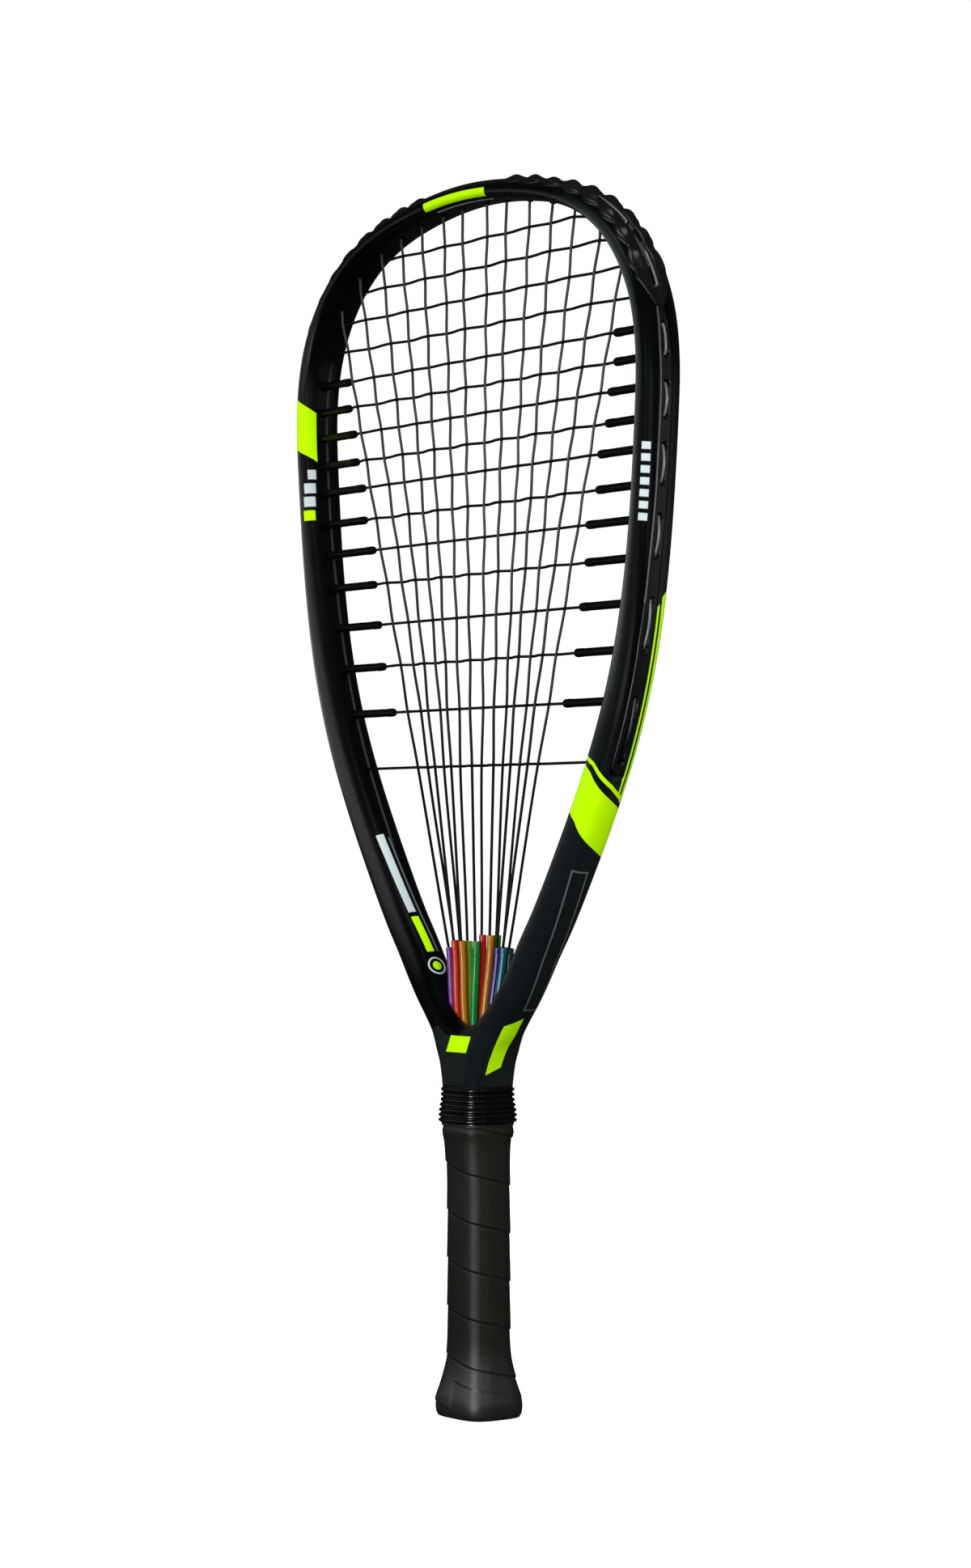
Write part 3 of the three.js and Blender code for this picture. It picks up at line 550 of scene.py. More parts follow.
def frame_material():
    mat, nt, bsdf = new_material("frame_satin_black")
    fine = noise(nt, 2600, 3.0, 0.6)
    broad = noise(nt, 26, 3.0, 0.5)
    uv = nt.nodes.new("ShaderNodeUVMap")
    uv.uv_map = "surface"
    sep = nt.nodes.new("ShaderNodeSeparateXYZ")
    nt.links.new(uv.outputs[0], sep.inputs[0])
    s = math_node(nt, "MULTIPLY", sep.outputs[0], 1000.0)          # mm along the hoop from the top, + right
    v = math_node(nt, "MULTIPLY", sep.outputs[1], 1000.0)          # mm round the section from the front middle, + outer side
    left = math_node(nt, "MULTIPLY", s, -1.0)
    on_hoop = math_node(nt, "SUBTRACT", 1.0, step_up(nt, s, 560.0))

    # broad slanted band, low on the right limb
    slant = ramp_line(nt, v, [(-20, 351.0), (0, 356.0), (30, 374.9)])
    sv = math_node(nt, "SUBTRACT", s, slant)
    band_r = both(nt, between(nt, sv, 0.0, 24.0), step_up(nt, v, -9.6), on_hoop)
    # thin line above it, which turns up the outer back corner
    gap = ramp_line(nt, v, [(-8, -1.6), (2, -3.5), (12, -4.0), (20, -3.0)])
    thick = ramp_line(nt, v, [(-8, 1.7), (4, 2.1), (20, 2.1)])
    low_edge = math_node(nt, "ADD", slant, gap)
    thin = both(nt, step_up(nt, s, math_node(nt, "SUBTRACT", low_edge, thick)), math_node(nt, "SUBTRACT", 1.0, step_up(nt, s, low_edge)), between(nt, v, -9.6, 19.35))
    riser_v = ramp_line(nt, s, [(270, 16.4), (350, 17.0), (366, 16.9)])
    riser = both(nt, step_up(nt, v, riser_v), math_node(nt, "SUBTRACT", 1.0, step_up(nt, v, math_node(nt, "ADD", riser_v, 1.1))),
                 step_up(nt, math_node(nt, "ADD", s, math_node(nt, "MULTIPLY", v, 1.2)), 300.0), math_node(nt, "SUBTRACT", 1.0, step_up(nt, s, low_edge)))
    outer_v = ramp_line(nt, s, [(270, 18.8), (350, 19.4), (366, 19.2)])
    outer = both(nt, step_up(nt, v, outer_v), math_node(nt, "SUBTRACT", 1.0, step_up(nt, v, math_node(nt, "ADD", outer_v, 3.0))),
                 step_up(nt, math_node(nt, "ADD", s, math_node(nt, "MULTIPLY", v, 0.8)), 290.9), math_node(nt, "SUBTRACT", 1.0, step_up(nt, s, 366.0)))
    # slanted band high on the left limb
    lv = math_node(nt, "ADD", left, math_node(nt, "MULTIPLY", v, 0.56))
    band_l = both(nt, between(nt, lv, 168.7, 192.8), between(nt, v, -9.7, 17.0))
    # plain blocks and bars
    blocks = []
    for k, (lo, hi) in enumerate([(202.2, 206.8), (208.8, 213.6), (215.3, 220.1), (222.0, 226.8)]):
        blocks.append(both(nt, between(nt, left, lo, hi, 0.25), between(nt, v, -8.6 + 0.5 * k, -2.9 + 0.6 * k if k else -4.4, 0.25)))
    pale_l = any_of(nt, *blocks[:3])
    lime_block = blocks[3]
    dash = math_node(nt, "FRACT", math_node(nt, "DIVIDE", math_node(nt, "SUBTRACT", s, 211.0), 5.0))
    bar_r = both(nt, between(nt, s, 211.0, 246.0), between(nt, v, 3.1, 7.1), between(nt, dash, 0.1, 0.72, 0.04))
    low_v = math_node(nt, "ADD", v, math_node(nt, "MULTIPLY", math_node(nt, "SUBTRACT", left, 391.0), 0.054))
    bar_ll = both(nt, between(nt, left, 391.0, 434.0), between(nt, low_v, -11.4, -7.6))
    bar_lime = both(nt, between(nt, left, 436.5, 456.0), between(nt, low_v, -11.4, -7.6))
    bar_grey = both(nt, between(nt, left, 393.0, 456.0), between(nt, low_v, -14.0, -13.0))
    up_v = math_node(nt, "SUBTRACT", v, math_node(nt, "MULTIPLY", math_node(nt, "SUBTRACT", s, 400.0), 0.072))
    inside = both(nt, between(nt, s, 400.0, 476.0), between(nt, up_v, 7.4, 15.8))
    core = both(nt, between(nt, s, 400.8, 475.2), between(nt, up_v, 8.1, 15.1))
    tc = nt.nodes.new("ShaderNodeTexCoord")
    obj = nt.nodes.new("ShaderNodeSeparateXYZ")
    nt.links.new(tc.outputs["Object"], obj.inputs[0])
    ox, oy, oz = (math_node(nt, "MULTIPLY", q, 1000.0) for q in obj.outputs)
    on_crown = step_up(nt, oz, 480.0)
    # ring low on the left limb
    ring_a, ring_b = math_node(nt, "SUBTRACT", left, 463.5), math_node(nt, "ADD", v, 13.5)
    ring_d = math_node(nt, "SQRT", math_node(nt, "ADD", math_node(nt, "MULTIPLY", ring_a, ring_a), math_node(nt, "MULTIPLY", ring_b, ring_b)), 0.0)
    ring = between(nt, ring_d, 3.7, 4.5)
    dot = math_node(nt, "SUBTRACT", 1.0, step_up(nt, ring_d, 2.2))
    # block and line on the front of the crown
    bar_top = both(nt, between(nt, s, -27.0, 19.5), between(nt, v, -3.5, 0.9), on_crown)
    line_top = both(nt, between(nt, s, -22.0, 21.5), between(nt, v, -6.9, -5.9), on_crown)
    outline = math_node(nt, "SUBTRACT", inside, core, clamp=True)

    # black of the paint, with painted light: lighter over the right limb's outer side and towards the throat, standing
    # in for the light that falls there
    black = mix_color(nt, broad, srgb(2, 3, 4), srgb(4, 5, 6))
    painted_light_side = both(nt, step_up(nt, s, 225.0, 55.0), step_up(nt, v, 11.5, 1.5))
    painted_light_low = step_up(nt, s, 345.0, 45.0)
    base = mix_color(nt, painted_light_low, black, mix_color(nt, broad, srgb(17, 21, 23), srgb(21, 25, 28)))
    base = mix_color(nt, painted_light_side, base, mix_color(nt, broad, srgb(23, 26, 26), srgb(28, 31, 31)))
    # painted highlight: a paler band along the inner edge of the right half's front, standing in for a soft glow of
    # light there
    glow_edge_v = ramp_line(nt, s, [(60, 1.4), (190, 0.7), (260, -0.6)])
    painted_glow_edge = both(nt, step_up(nt, s, 96.0, 26.0), math_node(nt, "SUBTRACT", 1.0, step_up(nt, s, 330.0, 30.0)), math_node(nt, "SUBTRACT", 1.0, step_up(nt, v, glow_edge_v, 1.3)))
    base = mix_color(nt, painted_glow_edge, base, srgb(46, 54, 56))
    # painted highlight: a thin lighter line along the inner side of the left limb, where light catches the wall
    highlight_line_v = ramp_line(nt, left, [(150, -16.2), (226, -15.3), (266, -16.0), (316, -15.9), (400, -14.8)])
    painted_highlight_line = both(nt, between(nt, math_node(nt, "SUBTRACT", v, highlight_line_v), -0.55, 0.55, 0.4), between(nt, left, 152.0, 396.0, 6.0))
    base = mix_color(nt, painted_highlight_line, base, srgb(52, 56, 58))
    base = mix_color(nt, any_of(nt, bar_grey, outline), base, srgb(92, 98, 100))
    base = mix_color(nt, any_of(nt, pale_l, bar_r, bar_ll, ring, line_top), base, PALE)
    lean_x = math_node(nt, "SUBTRACT", ox, math_node(nt, "MULTIPLY", math_node(nt, "SUBTRACT", oz, 168.0), 0.35))
    block_f = both(nt, between(nt, lean_x, -7.6, 7.4), between(nt, oz, 164.2, 171.6), math_node(nt, "SUBTRACT", 1.0, step_up(nt, oy, -6.0)))
    lean_z = math_node(nt, "SUBTRACT", oz, math_node(nt, "MULTIPLY", math_node(nt, "ADD", oy, 3.0), 0.45))
    block_s = both(nt, between(nt, lean_z, 156.0, 178.5), between(nt, oy, -6.6, 1.0), step_up(nt, ox, 5.0))
    lime = any_of(nt, band_r, thin, riser, outer, band_l, lime_block, bar_lime, block_f, block_s, dot, bar_top)
    base = mix_color(nt, lime, base, mix_color(nt, broad, LIME, srgb(194, 255, 4)))
    nt.links.new(base, bsdf.inputs["Base Color"])
    nt.links.new(map_range(nt, broad, 0.25, 0.31, 0.3, 0.7), bsdf.inputs["Roughness"])
    right_front = both(nt, step_up(nt, s, 150.0, 40.0), between(nt, v, -0.5, 11.0, 2.0), on_hoop)
    right_low = both(nt, step_up(nt, s, 300.0, 34.0), between(nt, v, -14.0, 24.0, 3.0))
    crown = math_node(nt, "SUBTRACT", 1.0, step_up(nt, math_node(nt, "ABSOLUTE", s), 130.0, 45.0))
    belt = both(nt, step_up(nt, s, 590.0), math_node(nt, "SUBTRACT", 1.0, between(nt, v, 10.0, 86.0, 1.5)))
    near_throat = both(nt, step_up(nt, math_node(nt, "ABSOLUTE", s), 445.0, 25.0), between(nt, v, -10.0, 7.0, 2.0), on_hoop)
    quiet = any_of(nt, math_node(nt, "MULTIPLY", right_front, 0.24), math_node(nt, "MULTIPLY", right_low, 0.285), math_node(nt, "MULTIPLY", crown, 0.2), math_node(nt, "MULTIPLY", any_of(nt, belt, near_throat), 0.305), math_node(nt, "MULTIPLY", lime, 0.305))
    nt.links.new(math_node(nt, "SUBTRACT", 0.32, quiet), bsdf.inputs["Specular IOR Level"])
    bump(nt, bsdf, fine, 0.05, 0.00002)
    return mat


mat_frame = frame_material()
mat_guard = plain_plastic("guard_black", srgb(8, 9, 8), srgb(12, 13, 12), (0.28, 0.32), 1400, 0.01, specular=1.0)
mat_strip = plain_plastic("strip_black", srgb(9, 10, 9), srgb(12, 13, 12), (0.24, 0.32), 1400, 0.01, specular=0.7)
# light grey for the strip's front edge: a painted highlight line
mat_rim_highlight = plain_plastic("strip_rim_painted_highlight", srgb(60, 63, 63), srgb(74, 77, 77), (0.2, 0.28), 1400, 0.02, specular=1.0)
mat_peg = plain_plastic("peg_black", srgb(3, 3, 3), srgb(6, 6, 6), (0.4, 0.5), 1400, 0.03, specular=0.12)
mat_main = plain_plastic("main_string", srgb(9, 9, 10), srgb(13, 13, 14), (0.24, 0.3), 1800, 0.015, specular=0.5)
mn = mat_main.node_tree
m_bsdf = next(n for n in mn.nodes if n.type == "BSDF_PRINCIPLED")
m_tc = mn.nodes.new("ShaderNodeTexCoord")
m_sep = mn.nodes.new("ShaderNodeSeparateXYZ")
mn.links.new(m_tc.outputs["Object"], m_sep.inputs[0])
# painted highlight: the mains turn lighter grey and glossier going up from 0.29 to 0.43 m, standing in for the light
# they catch higher up
m_painted_sheen = map_range(mn, m_sep.outputs[2], 0.0, 1.0, 0.29, 0.43)
m_base = m_bsdf.inputs["Base Color"].links[0].from_socket
mn.links.new(mix_color(mn, m_painted_sheen, m_base, srgb(50, 51, 52)), m_bsdf.inputs["Base Color"])
mn.links.new(map_range(mn, m_painted_sheen, 0.12, 1.0, 0.0, 1.0), m_bsdf.inputs["Specular IOR Level"])
mat_cross = plain_plastic("cross_string", srgb(3, 3, 3), srgb(6, 6, 6), (0.4, 0.5), 1800, 0.06, specular=0.2)
mat_turn = plain_plastic("cross_turn", srgb(14, 15, 15), srgb(19, 20, 20), (0.14, 0.2), 1800, 0.03, specular=1.0, coat=1.0)
tn = mat_turn.node_tree
t_bsdf = next(n for n in tn.nodes if n.type == "BSDF_PRINCIPLED")
t_tc = tn.nodes.new("ShaderNodeTexCoord")
t_sep = tn.nodes.new("ShaderNodeSeparateXYZ")
tn.links.new(t_tc.outputs["Object"], t_sep.inputs[0])
# painted highlight: the string turns over the hoop become much lighter above 0.30 to 0.35 m, standing in for the glints
# on the loops in the pockets
t_painted_sheen = map_range(tn, t_sep.outputs[2], 0.0, 1.0, 0.30, 0.35)
t_base = t_bsdf.inputs["Base Color"].links[0].from_socket
tn.links.new(mix_color(tn, t_painted_sheen, t_base, srgb(104, 106, 106)), t_bsdf.inputs["Base Color"])
tn.links.new(map_range(tn, t_painted_sheen, 0.15, 1.0, 0.0, 1.0), t_bsdf.inputs["Specular IOR Level"])
tn.links.new(t_painted_sheen, t_bsdf.inputs["Coat Weight"])
mat_collar = plain_plastic("collar_rubber", srgb(4, 4, 4), srgb(7, 7, 7), (0.22, 0.3), 900, 0.06, specular=0.22)
mat_grip = plain_plastic("grip_wrap", srgb(20, 20, 17), srgb(28, 28, 24), (0.36, 0.46), 700, 0.3, specular=0.3)
gn = mat_grip.node_tree
g_bsdf = next(n for n in gn.nodes if n.type == "BSDF_PRINCIPLED")
g_tc = gn.nodes.new("ShaderNodeTexCoord")
g_sep = gn.nodes.new("ShaderNodeSeparateXYZ")
gn.links.new(g_tc.outputs["Object"], g_sep.inputs[0])
gn.links.new(map_range(gn, g_sep.outputs[2], 0.85, 0.27, 0.012, 0.036), g_bsdf.inputs["Specular IOR Level"])
mat_cap = plain_plastic("butt_cap", srgb(20, 20, 19), srgb(28, 28, 27), (0.5, 0.6), 900, 0.3)
mat_tape = plain_plastic("finishing_tape", srgb(14, 14, 14), srgb(20, 20, 20), (0.4, 0.5), 900, 0.2)
mat_plate = plain_plastic("anchor_plate", srgb(40, 41, 43), srgb(52, 53, 55), (0.45, 0.55), 900, 0.2)


def place(ob, *nodes, slot):
    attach(ob, "root")
    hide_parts(*nodes)
    return ob


# ------------------------------------------------------------------ frame
NF, NI = 11, 13                    # steps from front middle to the groove, and from the side's middle inward


def limb_ring(s, depth, spread, off=0.0):
    """Section of a limb from the front middle over the outer side; depth of the groove, how its floor points spread, its offset."""
    hw, hd = s.w / 2, s.d / 2

    def arc(u0, u1, n):
        u = np.linspace(u0, u1, 241)
        f = lambda v: np.sign(v) * np.abs(v) ** (2 / SECTION_N)
        return resample(np.stack([hw * f(np.sin(u)), -hd * f(np.cos(u))], axis=1), n)

    b0, b1 = GROOVE_HALF - off, GROOVE_HALF + off
    p1, l1 = arc(0, math.acos((b0 / hd) ** (SECTION_N / 2)), NF)
    p2, l2 = arc(0, math.acos((b1 / hd) ** (SECTION_N / 2)), NF)
    e1, e2 = s.surf(b0), s.surf(b1)
    fl = hw - depth
    c = GROOVE_HALF - spread
    if depth > 0:
        groove = [(fl, off - c), (fl, off), (fl, off + c)]
    else:
        groove = [(s.surf(off - c), off - c), (s.surf(off), off), (s.surf(off + c), off + c)]
    p2 = p2[::-1] * [1, -1]
    p3, l3 = arc(math.pi, 1.5 * math.pi, NI)
    p4 = p3[::-1] * [1, -1]
    pts = [tuple(q) for q in p1] + groove + [tuple(q) for q in p2] + [tuple(q) for q in p3[1:]] + [tuple(q) for q in p4[1:-1]]
    # signed distance round from the front middle: + over the outer side, - over the inner side
    v = [l1 * k / NF for k in range(NF + 1)]
    v += [l1 + GROOVE_HALF * 0.5, l1 + GROOVE_HALF, l1 + GROOVE_HALF * 1.5]
    v += [l1 + 2 * GROOVE_HALF + l2 * k / NF for k in range(NF + 1)]
    v_in = [-(2 * l3) + l3 * k / NI for k in range(1, NI + 1)] + [-l3 + l3 * k / NI for k in range(1, NI)]
    return pts, v, v_in


HALF = 2 * NF + 4                  # index of the back middle
RING = HALF + 2 * NI               # points in a ring


def ring_uv(v, v_in, s):
    """uv columns for RING + 1 corners: the back middle starts the inner side with its own value."""
    return [(s, q) for q in v] + [(s, q) for q in v_in] + [(s, 0.0)]


def polar_ring(g):
    s = centre(g)
    fade = 1 - smooth((abs(g) - GROOVE_END_DEG) / 0.8)
    off = line_b(arc_of(g)) * fade
    if fade <= 0.001:
        pts, v, vi = limb_ring(s, 0.0, 1.8)
    else:
        e = min(s.surf(GROOVE_HALF - off), s.surf(GROOVE_HALF + off))
        pts, v, vi = limb_ring(s, s.w / 2 - e + (GROOVE_DEPTH - (s.w / 2 - e)) * fade, 1.8 * (1 - fade) + 0.02, off)
    return [s.at(a, b) for a, b in pts], v, vi


THROAT = [((38.9, 186.4), (23.2, 193.8), 9.0), ((32.1, 178.9), (14.6, 184.4), 9.4), ((26.8, 172.4), (7.4, 179.0), 9.9)]


def throat_ring(o, i, hd):
    length = math.hypot(o[0] - i[0], o[1] - i[1])
    s = Sec((o[0] + i[0]) / 2, (o[1] + i[1]) / 2, (o[0] - i[0]) / length, (o[1] - i[1]) / length, length, 2 * hd)
    pts, v, vi = limb_ring(s, 0.0, 1.8)
    return [s.at(a, b) for a, b in pts], v, vi


SHAFT = [(165, 20.1, 11.0, 5.5), (158, 16.2, 11.6, 5.0), (150, 13.2, 12.3, 4.2), (140, 12.3, 11.8, 4.4), (131, 11.8, 11.3, 4.8), (117, 11.5, 10.1, 4.9), (60, 11.5, 10.1, 4.9), (HANDLE_END_Z, 11.5, 10.1, 4.9)]


def shaft_half(A, B, c, z, n, keep):
    """Right half outline from the front to the back, starting and ending at keep times A."""
    poly = [(A * keep, -B), (A - c, -B)]
    poly += [(A - c + c * math.sin(t), -B + c - c * math.cos(t)) for t in np.linspace(0.1, math.pi / 2, 16)]
    poly += [(x, -y) for x, y in poly[::-1]]
    p, length = resample(poly, n)
    return [(x, y, z) for x, y in p], length


def build_frame():
    sh = Shell()
    # polar part, dense stations
    s_join = arc_of(156.0)
    s_end = arc_of(GROOVE_END_DEG)
    stations = sorted(set([round(v, 3) for v in np.linspace(0, s_join, 172)] + [round(s_end + d, 3) for d in (-0.6, 0.0, 0.4, 0.8, 1.2, 1.6, 2.2)]))
    polar = [(polar_ring(angle_of(s)), s) for s in stations]
    # splined part
    knots_g = [156.0, 159.5, 163.0, 166.2, 169.3]
    knots = [polar_ring(g) for g in knots_g] + [throat_ring(*t) for t in THROAT]
    outer = [np.array(k[0][: HALF + 1]) for k in knots]
    inner = [np.array(list(k[0][HALF:]) + [k[0][0]]) for k in knots]
    keep = 0.42
    M = 6                          # steps from a limb to the middle of the V
    # middle column from the back to the front
    hd, top, low = SHAFT[0][2] - 0.5, 176.4, 169.5
    u = np.linspace(0, math.pi, 400)
    f = lambda v: np.sign(v) * np.abs(v) ** (2 / SECTION_N)
    col, _ = resample(np.stack([hd * f(np.cos(u)), low + (top - low) * f(np.sin(u))], axis=1), 2 * NI)
    col = np.array([(0, y, z) for y, z in col])
    mirror = np.array([-1, 1, 1])
    shaft_rows = [np.array(shaft_half(*r[1:4], r[0], HALF, keep)[0]) for r in SHAFT]
    counts = [4, 4, 4, 5, 6, 5, 4]
    out_rows, t_out = hermite_columns(outer + shaft_rows, counts + [7, 4, 4, 5, 4, 5, 8, 6])
    in_rows, t_in = hermite_columns(inner + [col] + [r * mirror for r in inner[::-1][:2]], counts + [M, M, 3])
    n_limb = sum(counts)           # row index of the last throat ring
    s0 = s_join
    polar_rows = [r[0][0] for r in polar]
    for side in (1, -1):
        mir = (lambda q: tuple(q)) if side == 1 else (lambda q: (-q[0], q[1], q[2]))
        rows_pts = [[mir(q) for q in r] for r in polar_rows]
        rows_uv = [ring_uv(r[0][1], r[0][2], side * r[1]) for r in polar]
        sh.patch(rows_pts, rows_uv, wrap=True)
        # splined limb, as two strips
        v_out = polar[-1][0][1]
        l_in = abs(polar[-1][0][2][0]) * NI / (2 * NI - 1)
        vin_full = [-2 * l_in + l_in * k / NI for k in range(2 * NI + 1)]
        o = [[mir(q) for q in r] for r in out_rows[: n_limb + 1]]
        sh.patch(o, [[(side * (s0 + t_out[k]), q) for q in v_out] for k in range(n_limb + 1)])
        i_ = [[mir(q) for q in r] for r in in_rows[: n_limb + M + 1]]
        sh.patch(i_, [[(side * (s0 + t_in[k]), q) for q in vin_full] for k in range(n_limb + M + 1)])
    # belt and shaft: closed rings
    bridge_back = [in_rows[n_limb + k][0] for k in range(1, M)]       # right side, from the limb to the middle
    bridge_front = [in_rows[n_limb + k][-1] for k in range(1, M)]
    first = [np.array(q) for q in out_rows[n_limb]]
    ring0 = first + bridge_back + [col[0]] + [q * mirror for q in bridge_back[::-1]] + [q * mirror for q in first[::-1]] + [q * mirror for q in bridge_front] + [col[-1]] + bridge_front[::-1]
    rows_all = [ring0]
    z_rows = out_rows[n_limb + 1:]

    def shaft_line(k):
        """Front or back line between the two keep points at row k of the shaft."""
        a = z_rows[k]
        xs = [a[0][0] * (1 - q / M) for q in range(1, M)]
        fr = [np.array((x, a[0][1], a[0][2])) for x in xs]
        bk = [np.array((x, a[-1][1], a[-1][2])) for x in xs]
        return fr, bk, np.array((0, a[0][1], a[0][2])), np.array((0, a[-1][1], a[-1][2]))

    n_belt = 7
    for k in range(len(z_rows)):
        fr, bk, fm, bmid = shaft_line(k)
        if k < n_belt:             # between the V and the first full shaft ring the middle lines start from the bridge
            t = (k + 1) / n_belt
            fr1, bk1, fm1, bm1 = shaft_line(n_belt - 1)
            lerp = lambda p, q: p + (q - p) * t
            fr = [lerp(p, q) for p, q in zip(bridge_front, fr1)]
            bk = [lerp(p, q) for p, q in zip(bridge_back, bk1)]
            fm, bmid = lerp(col[-1], fm1), lerp(col[0], bm1)
        a = [np.array(q) for q in z_rows[k]]
        rows_all.append(a + bk + [bmid] + [q * mirror for q in bk[::-1]] + [q * mirror for q in a[::-1]] + [q * mirror for q in fr] + [fm] + fr[::-1])
    n_all = len(rows_all[0])
    rows_t = [[tuple(q) for q in r] for r in rows_all]
    sh.patch(rows_t, [[(600.0 + 2.0 * k, 1.5 * j) for j in range(n_all + 1)] for k in range(len(rows_t))], wrap=True)
    sh.fan(rows_t[-1], (0, 0, HANDLE_END_Z))
    return sh.object("frame_shell", mat_frame, sharp=32)


frame_ob = place(build_frame(), "frame", slot="frame_lacquer")


def cutter(rings):
    sh = Shell()
    sh.patch(rings, None, wrap=True)
    for r in (rings[0], rings[-1]):
        sh.fan(r, tuple(np.mean(np.array(r), axis=0)))
    return sh.object("cutter", mat_frame)


def rounded_box(hx, hy, r, z, n=6):
    out = []
    for cx, cy, a0 in ((hx - r, hy - r, 0), (-hx + r, hy - r, 90), (-hx + r, -hy + r, 180), (hx - r, -hy + r, 270)):
        for k in range(n + 1):
            a = math.radians(a0 + 90 * k / n)
            out.append((cx + r * math.cos(a), cy + r * math.sin(a), z))
    return out


slot_rings = []
for z in (207, 197, 180, 170, 160, 152):
    ps = [tube_point(i, z) for i in (0, 2)]
    hx = max(abs(p[0]) for p in ps) + TUBE_R + 0.7
    hy = max(abs(p[1]) for p in ps) + TUBE_R + 0.7
    slot_rings.append(rounded_box(hx, hy, min(2.2, hy * 0.6), z))
cut = cutter(slot_rings)
mod = frame_ob.modifiers.new("slot", "BOOLEAN")
mod.operation, mod.object, mod.solver = "DIFFERENCE", cut, "EXACT"
dg = bpy.context.evaluated_depsgraph_get()
new = bpy.data.meshes.new_from_object(frame_ob.evaluated_get(dg))
frame_ob.modifiers.clear()
old = frame_ob.data
frame_ob.data = new
bpy.data.objects.remove(cut)
new.set_sharp_from_angle(angle=math.radians(32))

# ------------------------------------------------------------------ head guard
BUMP_AT = [36.5, 50.3, 64.3, 78.5, 92.6, 106.2, 119.5, 132.8]
S_GUARD = 154.0


def bump_shape(s):
    """0..1 height of the nearest knuckle at distance s along the hoop."""
    s = abs(s)
    best = 0.0
    for k, q in enumerate(BUMP_AT):
        size = 0.8 if k == 0 else 1.0
        d = abs(s - q) / 6.0
        if d < 1:
            best = max(best, size * (1 - d * d) ** 1.25)
    return best


def inner_parts(ob):
    """Second material on all that stands inside the hoop's outer surface."""
    for f in ob.data.polygons:
        x, z = abs(f.center[0]) / MM, f.center[2] / MM - HEAD_CENTRE_Z
        g = math.degrees(math.atan2(x, z))
        f.material_index = 1 if math.hypot(x, z) < outline_r(g) + section_w(g) / 2 - 3.4 else 0
    return ob


def build_guard():
    sh = Shell()
    rows_pts, uvs = [], []
    n = 340
    for k in range(n + 1):
        s = -S_GUARD + 2 * S_GUARD * k / n
        g = angle_of(s)
        c = centre(g)
        w = c.w / 2
        kn = bump_shape(s)
        tail = smooth((S_GUARD - abs(s)) / 15.0)
        in_zone = smooth((abs(s) - 24) / 12.0)
        lip = min(8.0 - 0.25 * in_zone + 1.75 * kn + 1.1 * smooth((abs(s) - 131) / 8), max(2.45, 2.45 + (S_GUARD - abs(s)) * 0.55))
        thick = (0.75 + 0.05 * in_zone) * (0.25 + 0.75 * tail)
        crest = min(5.3, max(2.6, lip - 1.2))
        rows = []
        # outside, from the front lip to the channel
        prof = []
        steps = 18
        for j in range(steps + 1):
            t = j / steps
            b = lip + (2.15 - lip) * t
            e = (lip - b)
            edge = math.sqrt(max(0.0, 1 - (1 - min(1, e / 0.9)) ** 2))
            rim = 0.35 * math.exp(-((e - 1.0) / 0.8) ** 2) * (0.35 + 0.65 * kn) * tail
            dome = 2.3 * kn * tail * math.exp(-((b - crest) / 2.2) ** 2)
            inner_edge = 0.45 * in_zone * tail * math.exp(-((b - 2.7) / 0.9) ** 2)
            h = edge * thick + rim + dome + inner_edge
            prof.append((b, c.surf(b) + h))
        pts = [(-b, a) for b, a in prof]
        # channel
        a_in = prof[-1][1]
        pts += [(-1.95, a_in - 0.25), (-1.75, w - 0.7), (-1.4, w - 0.85), (0.0, w - 0.9), (1.4, w - 0.85), (1.75, w - 0.7), (1.95, a_in - 0.25)]
        pts += [(b, a) for b, a in prof[::-1]]
        # underside, let into the frame
        under = [(lip - 0.15, c.surf(lip) - 0.25), (5.6, c.surf(5.6) - 0.25) if lip > 6.2 else (lip - 0.2, c.surf(lip) - 0.3), (min(3.3, lip - 0.25), w - 1.0), (min(3.2, lip - 0.3), w - 2.3), (-min(3.2, lip - 0.3), w - 2.3), (-min(3.3, lip - 0.25), w - 1.0), (-5.6, c.surf(5.6) - 0.25) if lip > 6.2 else (-lip + 0.2, c.surf(lip) - 0.3), (-lip + 0.15, c.surf(lip) - 0.25)]
        pts += under
        rows_pts.append([c.at(a, b) for b, a in pts])
        uvs.append([(s, 0.6 * j) for j in range(len(pts) + 1)])
    sh.patch(rows_pts, uvs, wrap=True)
    for r in (rows_pts[0], rows_pts[-1]):
        sh.fan(r, tuple(np.mean(np.array(r), axis=0)))
    # collars round the strings on the inner side of the hoop
    for i in range(14):
        c = centre(main_angle[i])
        tube_mesh(sh, [c.at(-c.w / 2 - 0.55, -LANE), c.at(-c.w / 2 - 0.45, -LANE), c.at(-c.w / 2 + 2, -LANE)], [1.35, 1.5, 1.5], 14)
    for side in (-1, 1):
        for k in range(4):
            c = centre(side * cross_angle[k])
            tube_mesh(sh, [c.at(-c.w / 2 - 0.55, LANE), c.at(-c.w / 2 - 0.45, LANE), c.at(-c.w / 2 + 2, LANE)], [1.35, 1.5, 1.5], 14)
    return inner_parts(sh.object("head_guard", [mat_guard, mat_peg], sharp=60))


place(build_guard(), "head_bumper_guard", slot="guard_plastic")

# ------------------------------------------------------------------ side strips with their pegs
POCKETS = {1: [(4, 5), (6, 7), (8, 9), (10, 11), (12, 13), (14, 15)], -1: [(3.4, 4), (5, 6), (7, 8), (9, 10), (11, 12), (13, 14)]}


